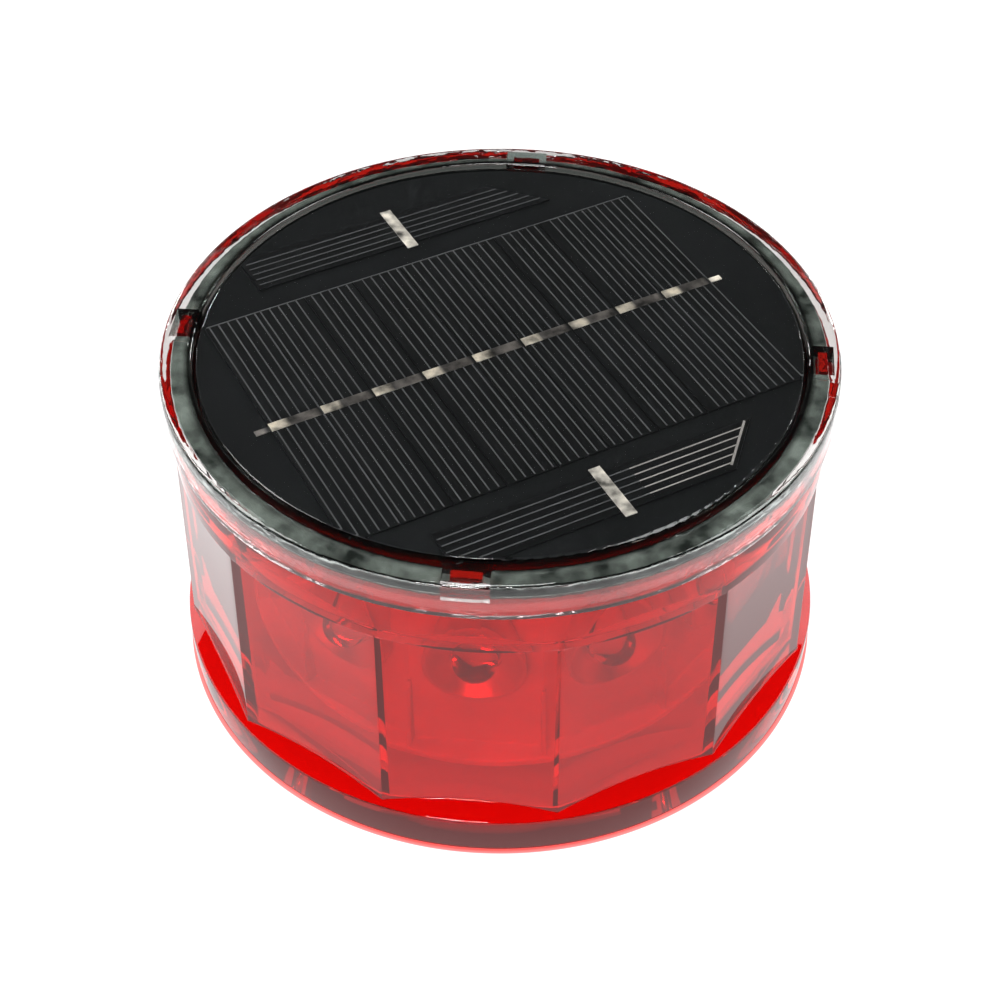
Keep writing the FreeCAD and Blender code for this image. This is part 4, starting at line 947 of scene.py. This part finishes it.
# ==== Floor, light and camera ====
# A white table that fills the view, a dim room, and soft boxes above. From below the table can be seen through. The
# table glows with painted light, twice as bright to the left and right, with painted shadow under the lamp and painted
# red light under the foot.
table_half = 1.5
table = shape_piece("table", bmesh.new())
table_shape = bmesh.new()
bmesh.ops.create_grid(table_shape, x_segments=1, y_segments=1, size=table_half)
bmesh.ops.translate(table_shape, verts=table_shape.verts, vec=(0, 0, -0.05 * MM))
table_shape.to_mesh(table.data)
table_shape.free()
white_table, table_tree, table_shader, table_output = new_material("white_table")
table_tint = blend_colours(table_tree, object_noise(table_tree, 3), (0.30, 0.30, 0.30), (0.32, 0.32, 0.32))
table_tree.links.new(table_tint, table_shader.inputs["Base Color"])
table_shader.inputs["Roughness"].default_value = 0.8
table_place = table_tree.nodes.new("ShaderNodeTexCoord")
table_split = table_tree.nodes.new("ShaderNodeSeparateXYZ")
# Painted light: the table's glow doubles towards the left and right.
table_side = table_tree.nodes.new("ShaderNodeMath")
table_side.operation = "ABSOLUTE"
painted_side_light = table_tree.nodes.new("ShaderNodeMapRange")
painted_side_light.inputs["From Min"].default_value = 0.05
painted_side_light.inputs["From Max"].default_value = 0.18
painted_side_light.inputs["To Min"].default_value = 1.0
painted_side_light.inputs["To Max"].default_value = 2.0
table_far = table_tree.nodes.new("ShaderNodeVectorMath")
table_far.operation = "LENGTH"
# Painted shadow: the table's glow falls to two thirds under the lamp.
painted_lamp_shadow = table_tree.nodes.new("ShaderNodeMapRange")
painted_lamp_shadow.inputs["From Min"].default_value = 0.045
painted_lamp_shadow.inputs["From Max"].default_value = 0.062
painted_lamp_shadow.inputs["To Min"].default_value = 0.66
painted_light_and_shadow = table_tree.nodes.new("ShaderNodeMath")
painted_light_and_shadow.operation = "MULTIPLY"
table_tree.links.new(table_place.outputs["Object"], table_split.inputs["Vector"])
table_tree.links.new(table_split.outputs["X"], table_side.inputs[0])
table_tree.links.new(table_side.outputs["Value"], painted_side_light.inputs["Value"])
table_tree.links.new(table_place.outputs["Object"], table_far.inputs[0])
table_tree.links.new(table_far.outputs["Value"], painted_lamp_shadow.inputs["Value"])
table_tree.links.new(painted_side_light.outputs["Result"], painted_light_and_shadow.inputs[0])
table_tree.links.new(painted_lamp_shadow.outputs["Result"], painted_light_and_shadow.inputs[1])
# Painted red light: the table's glow is red under the foot.
painted_red_spill_edge = table_tree.nodes.new("ShaderNodeMapRange")
painted_red_spill_edge.inputs["From Min"].default_value = 0.0602
painted_red_spill_edge.inputs["From Max"].default_value = 0.0604
painted_red_spill = blend_colours(table_tree, painted_red_spill_edge.outputs["Result"], (1.0, 0.045, 0.035), (1, 1, 1))
painted_table_light = table_tree.nodes.new("ShaderNodeVectorMath")
painted_table_light.operation = "SCALE"
table_tree.links.new(table_far.outputs["Value"], painted_red_spill_edge.inputs["Value"])
table_tree.links.new(painted_red_spill, painted_table_light.inputs[0])
table_tree.links.new(painted_light_and_shadow.outputs["Value"], painted_table_light.inputs["Scale"])
table_tree.links.new(painted_table_light.outputs["Vector"], table_shader.inputs["Emission Color"])
table_shader.inputs["Emission Strength"].default_value = 0.84
table_geometry = table_tree.nodes.new("ShaderNodeNewGeometry")
table_clear = table_tree.nodes.new("ShaderNodeBsdfTransparent")
table_choose = table_tree.nodes.new("ShaderNodeMixShader")
table_tree.links.new(table_geometry.outputs["Backfacing"], table_choose.inputs["Fac"])
table_tree.links.new(table_shader.outputs["BSDF"], table_choose.inputs[1])
table_tree.links.new(table_clear.outputs["BSDF"], table_choose.inputs[2])
table_tree.links.new(table_choose.outputs["Shader"], table_output.inputs["Surface"])
table.data.materials.append(white_table)

room = bpy.data.worlds.new("dim_room")
room.use_nodes = True
room.node_tree.nodes["Background"].inputs["Color"].default_value = (0.03, 0.032, 0.032, 1)
room.node_tree.nodes["Background"].inputs["Strength"].default_value = 1.0
bpy.context.scene.world = room


def soft_box(name, place, width, depth, power):
    """A rectangular soft box that faces the lamp."""
    light = bpy.data.lights.new(name, "AREA")
    light.shape = "RECTANGLE"
    light.size = width
    light.size_y = depth
    light.energy = power
    box = bpy.data.objects.new(name, light)
    box.location = place
    box.rotation_euler = (Vector((0, 0, 0.03)) - Vector(place)).to_track_quat("-Z", "Y").to_euler()
    bpy.context.scene.collection.objects.link(box)


soft_box("left_box", (-0.75, 0.1, 0.75), 0.5, 0.5, 6.0)
soft_box("right_box", (0.75, 0.0, 0.75), 0.5, 0.5, 5.0)
soft_box("top_box", (0.0, -0.25, 1.1), 0.35, 0.2, 3.0)
soft_box("front_strip", (-0.12, -0.75, 0.75), 0.25, 0.06, 2.5)
soft_box("rear_left_box", (-0.5, 0.8, 0.35), 0.12, 0.08, 1.0)
soft_box("rear_right_box", (0.55, 0.8, 0.3), 0.12, 0.08, 1.0)
soft_box("low_front_strip", (-0.2, -0.9, 0.35), 0.3, 0.05, 2.5)

view = bpy.data.cameras.new("view")
view.sensor_width = 36
view.lens = 70.35
camera = bpy.data.objects.new("view", view)
camera.location = (0, -0.2623, 0.2831)
camera.rotation_euler = (math.radians(45.76), 0, 0)
bpy.context.scene.collection.objects.link(camera)
bpy.context.scene.camera = camera
bpy.context.scene.view_settings.view_transform = "Standard"
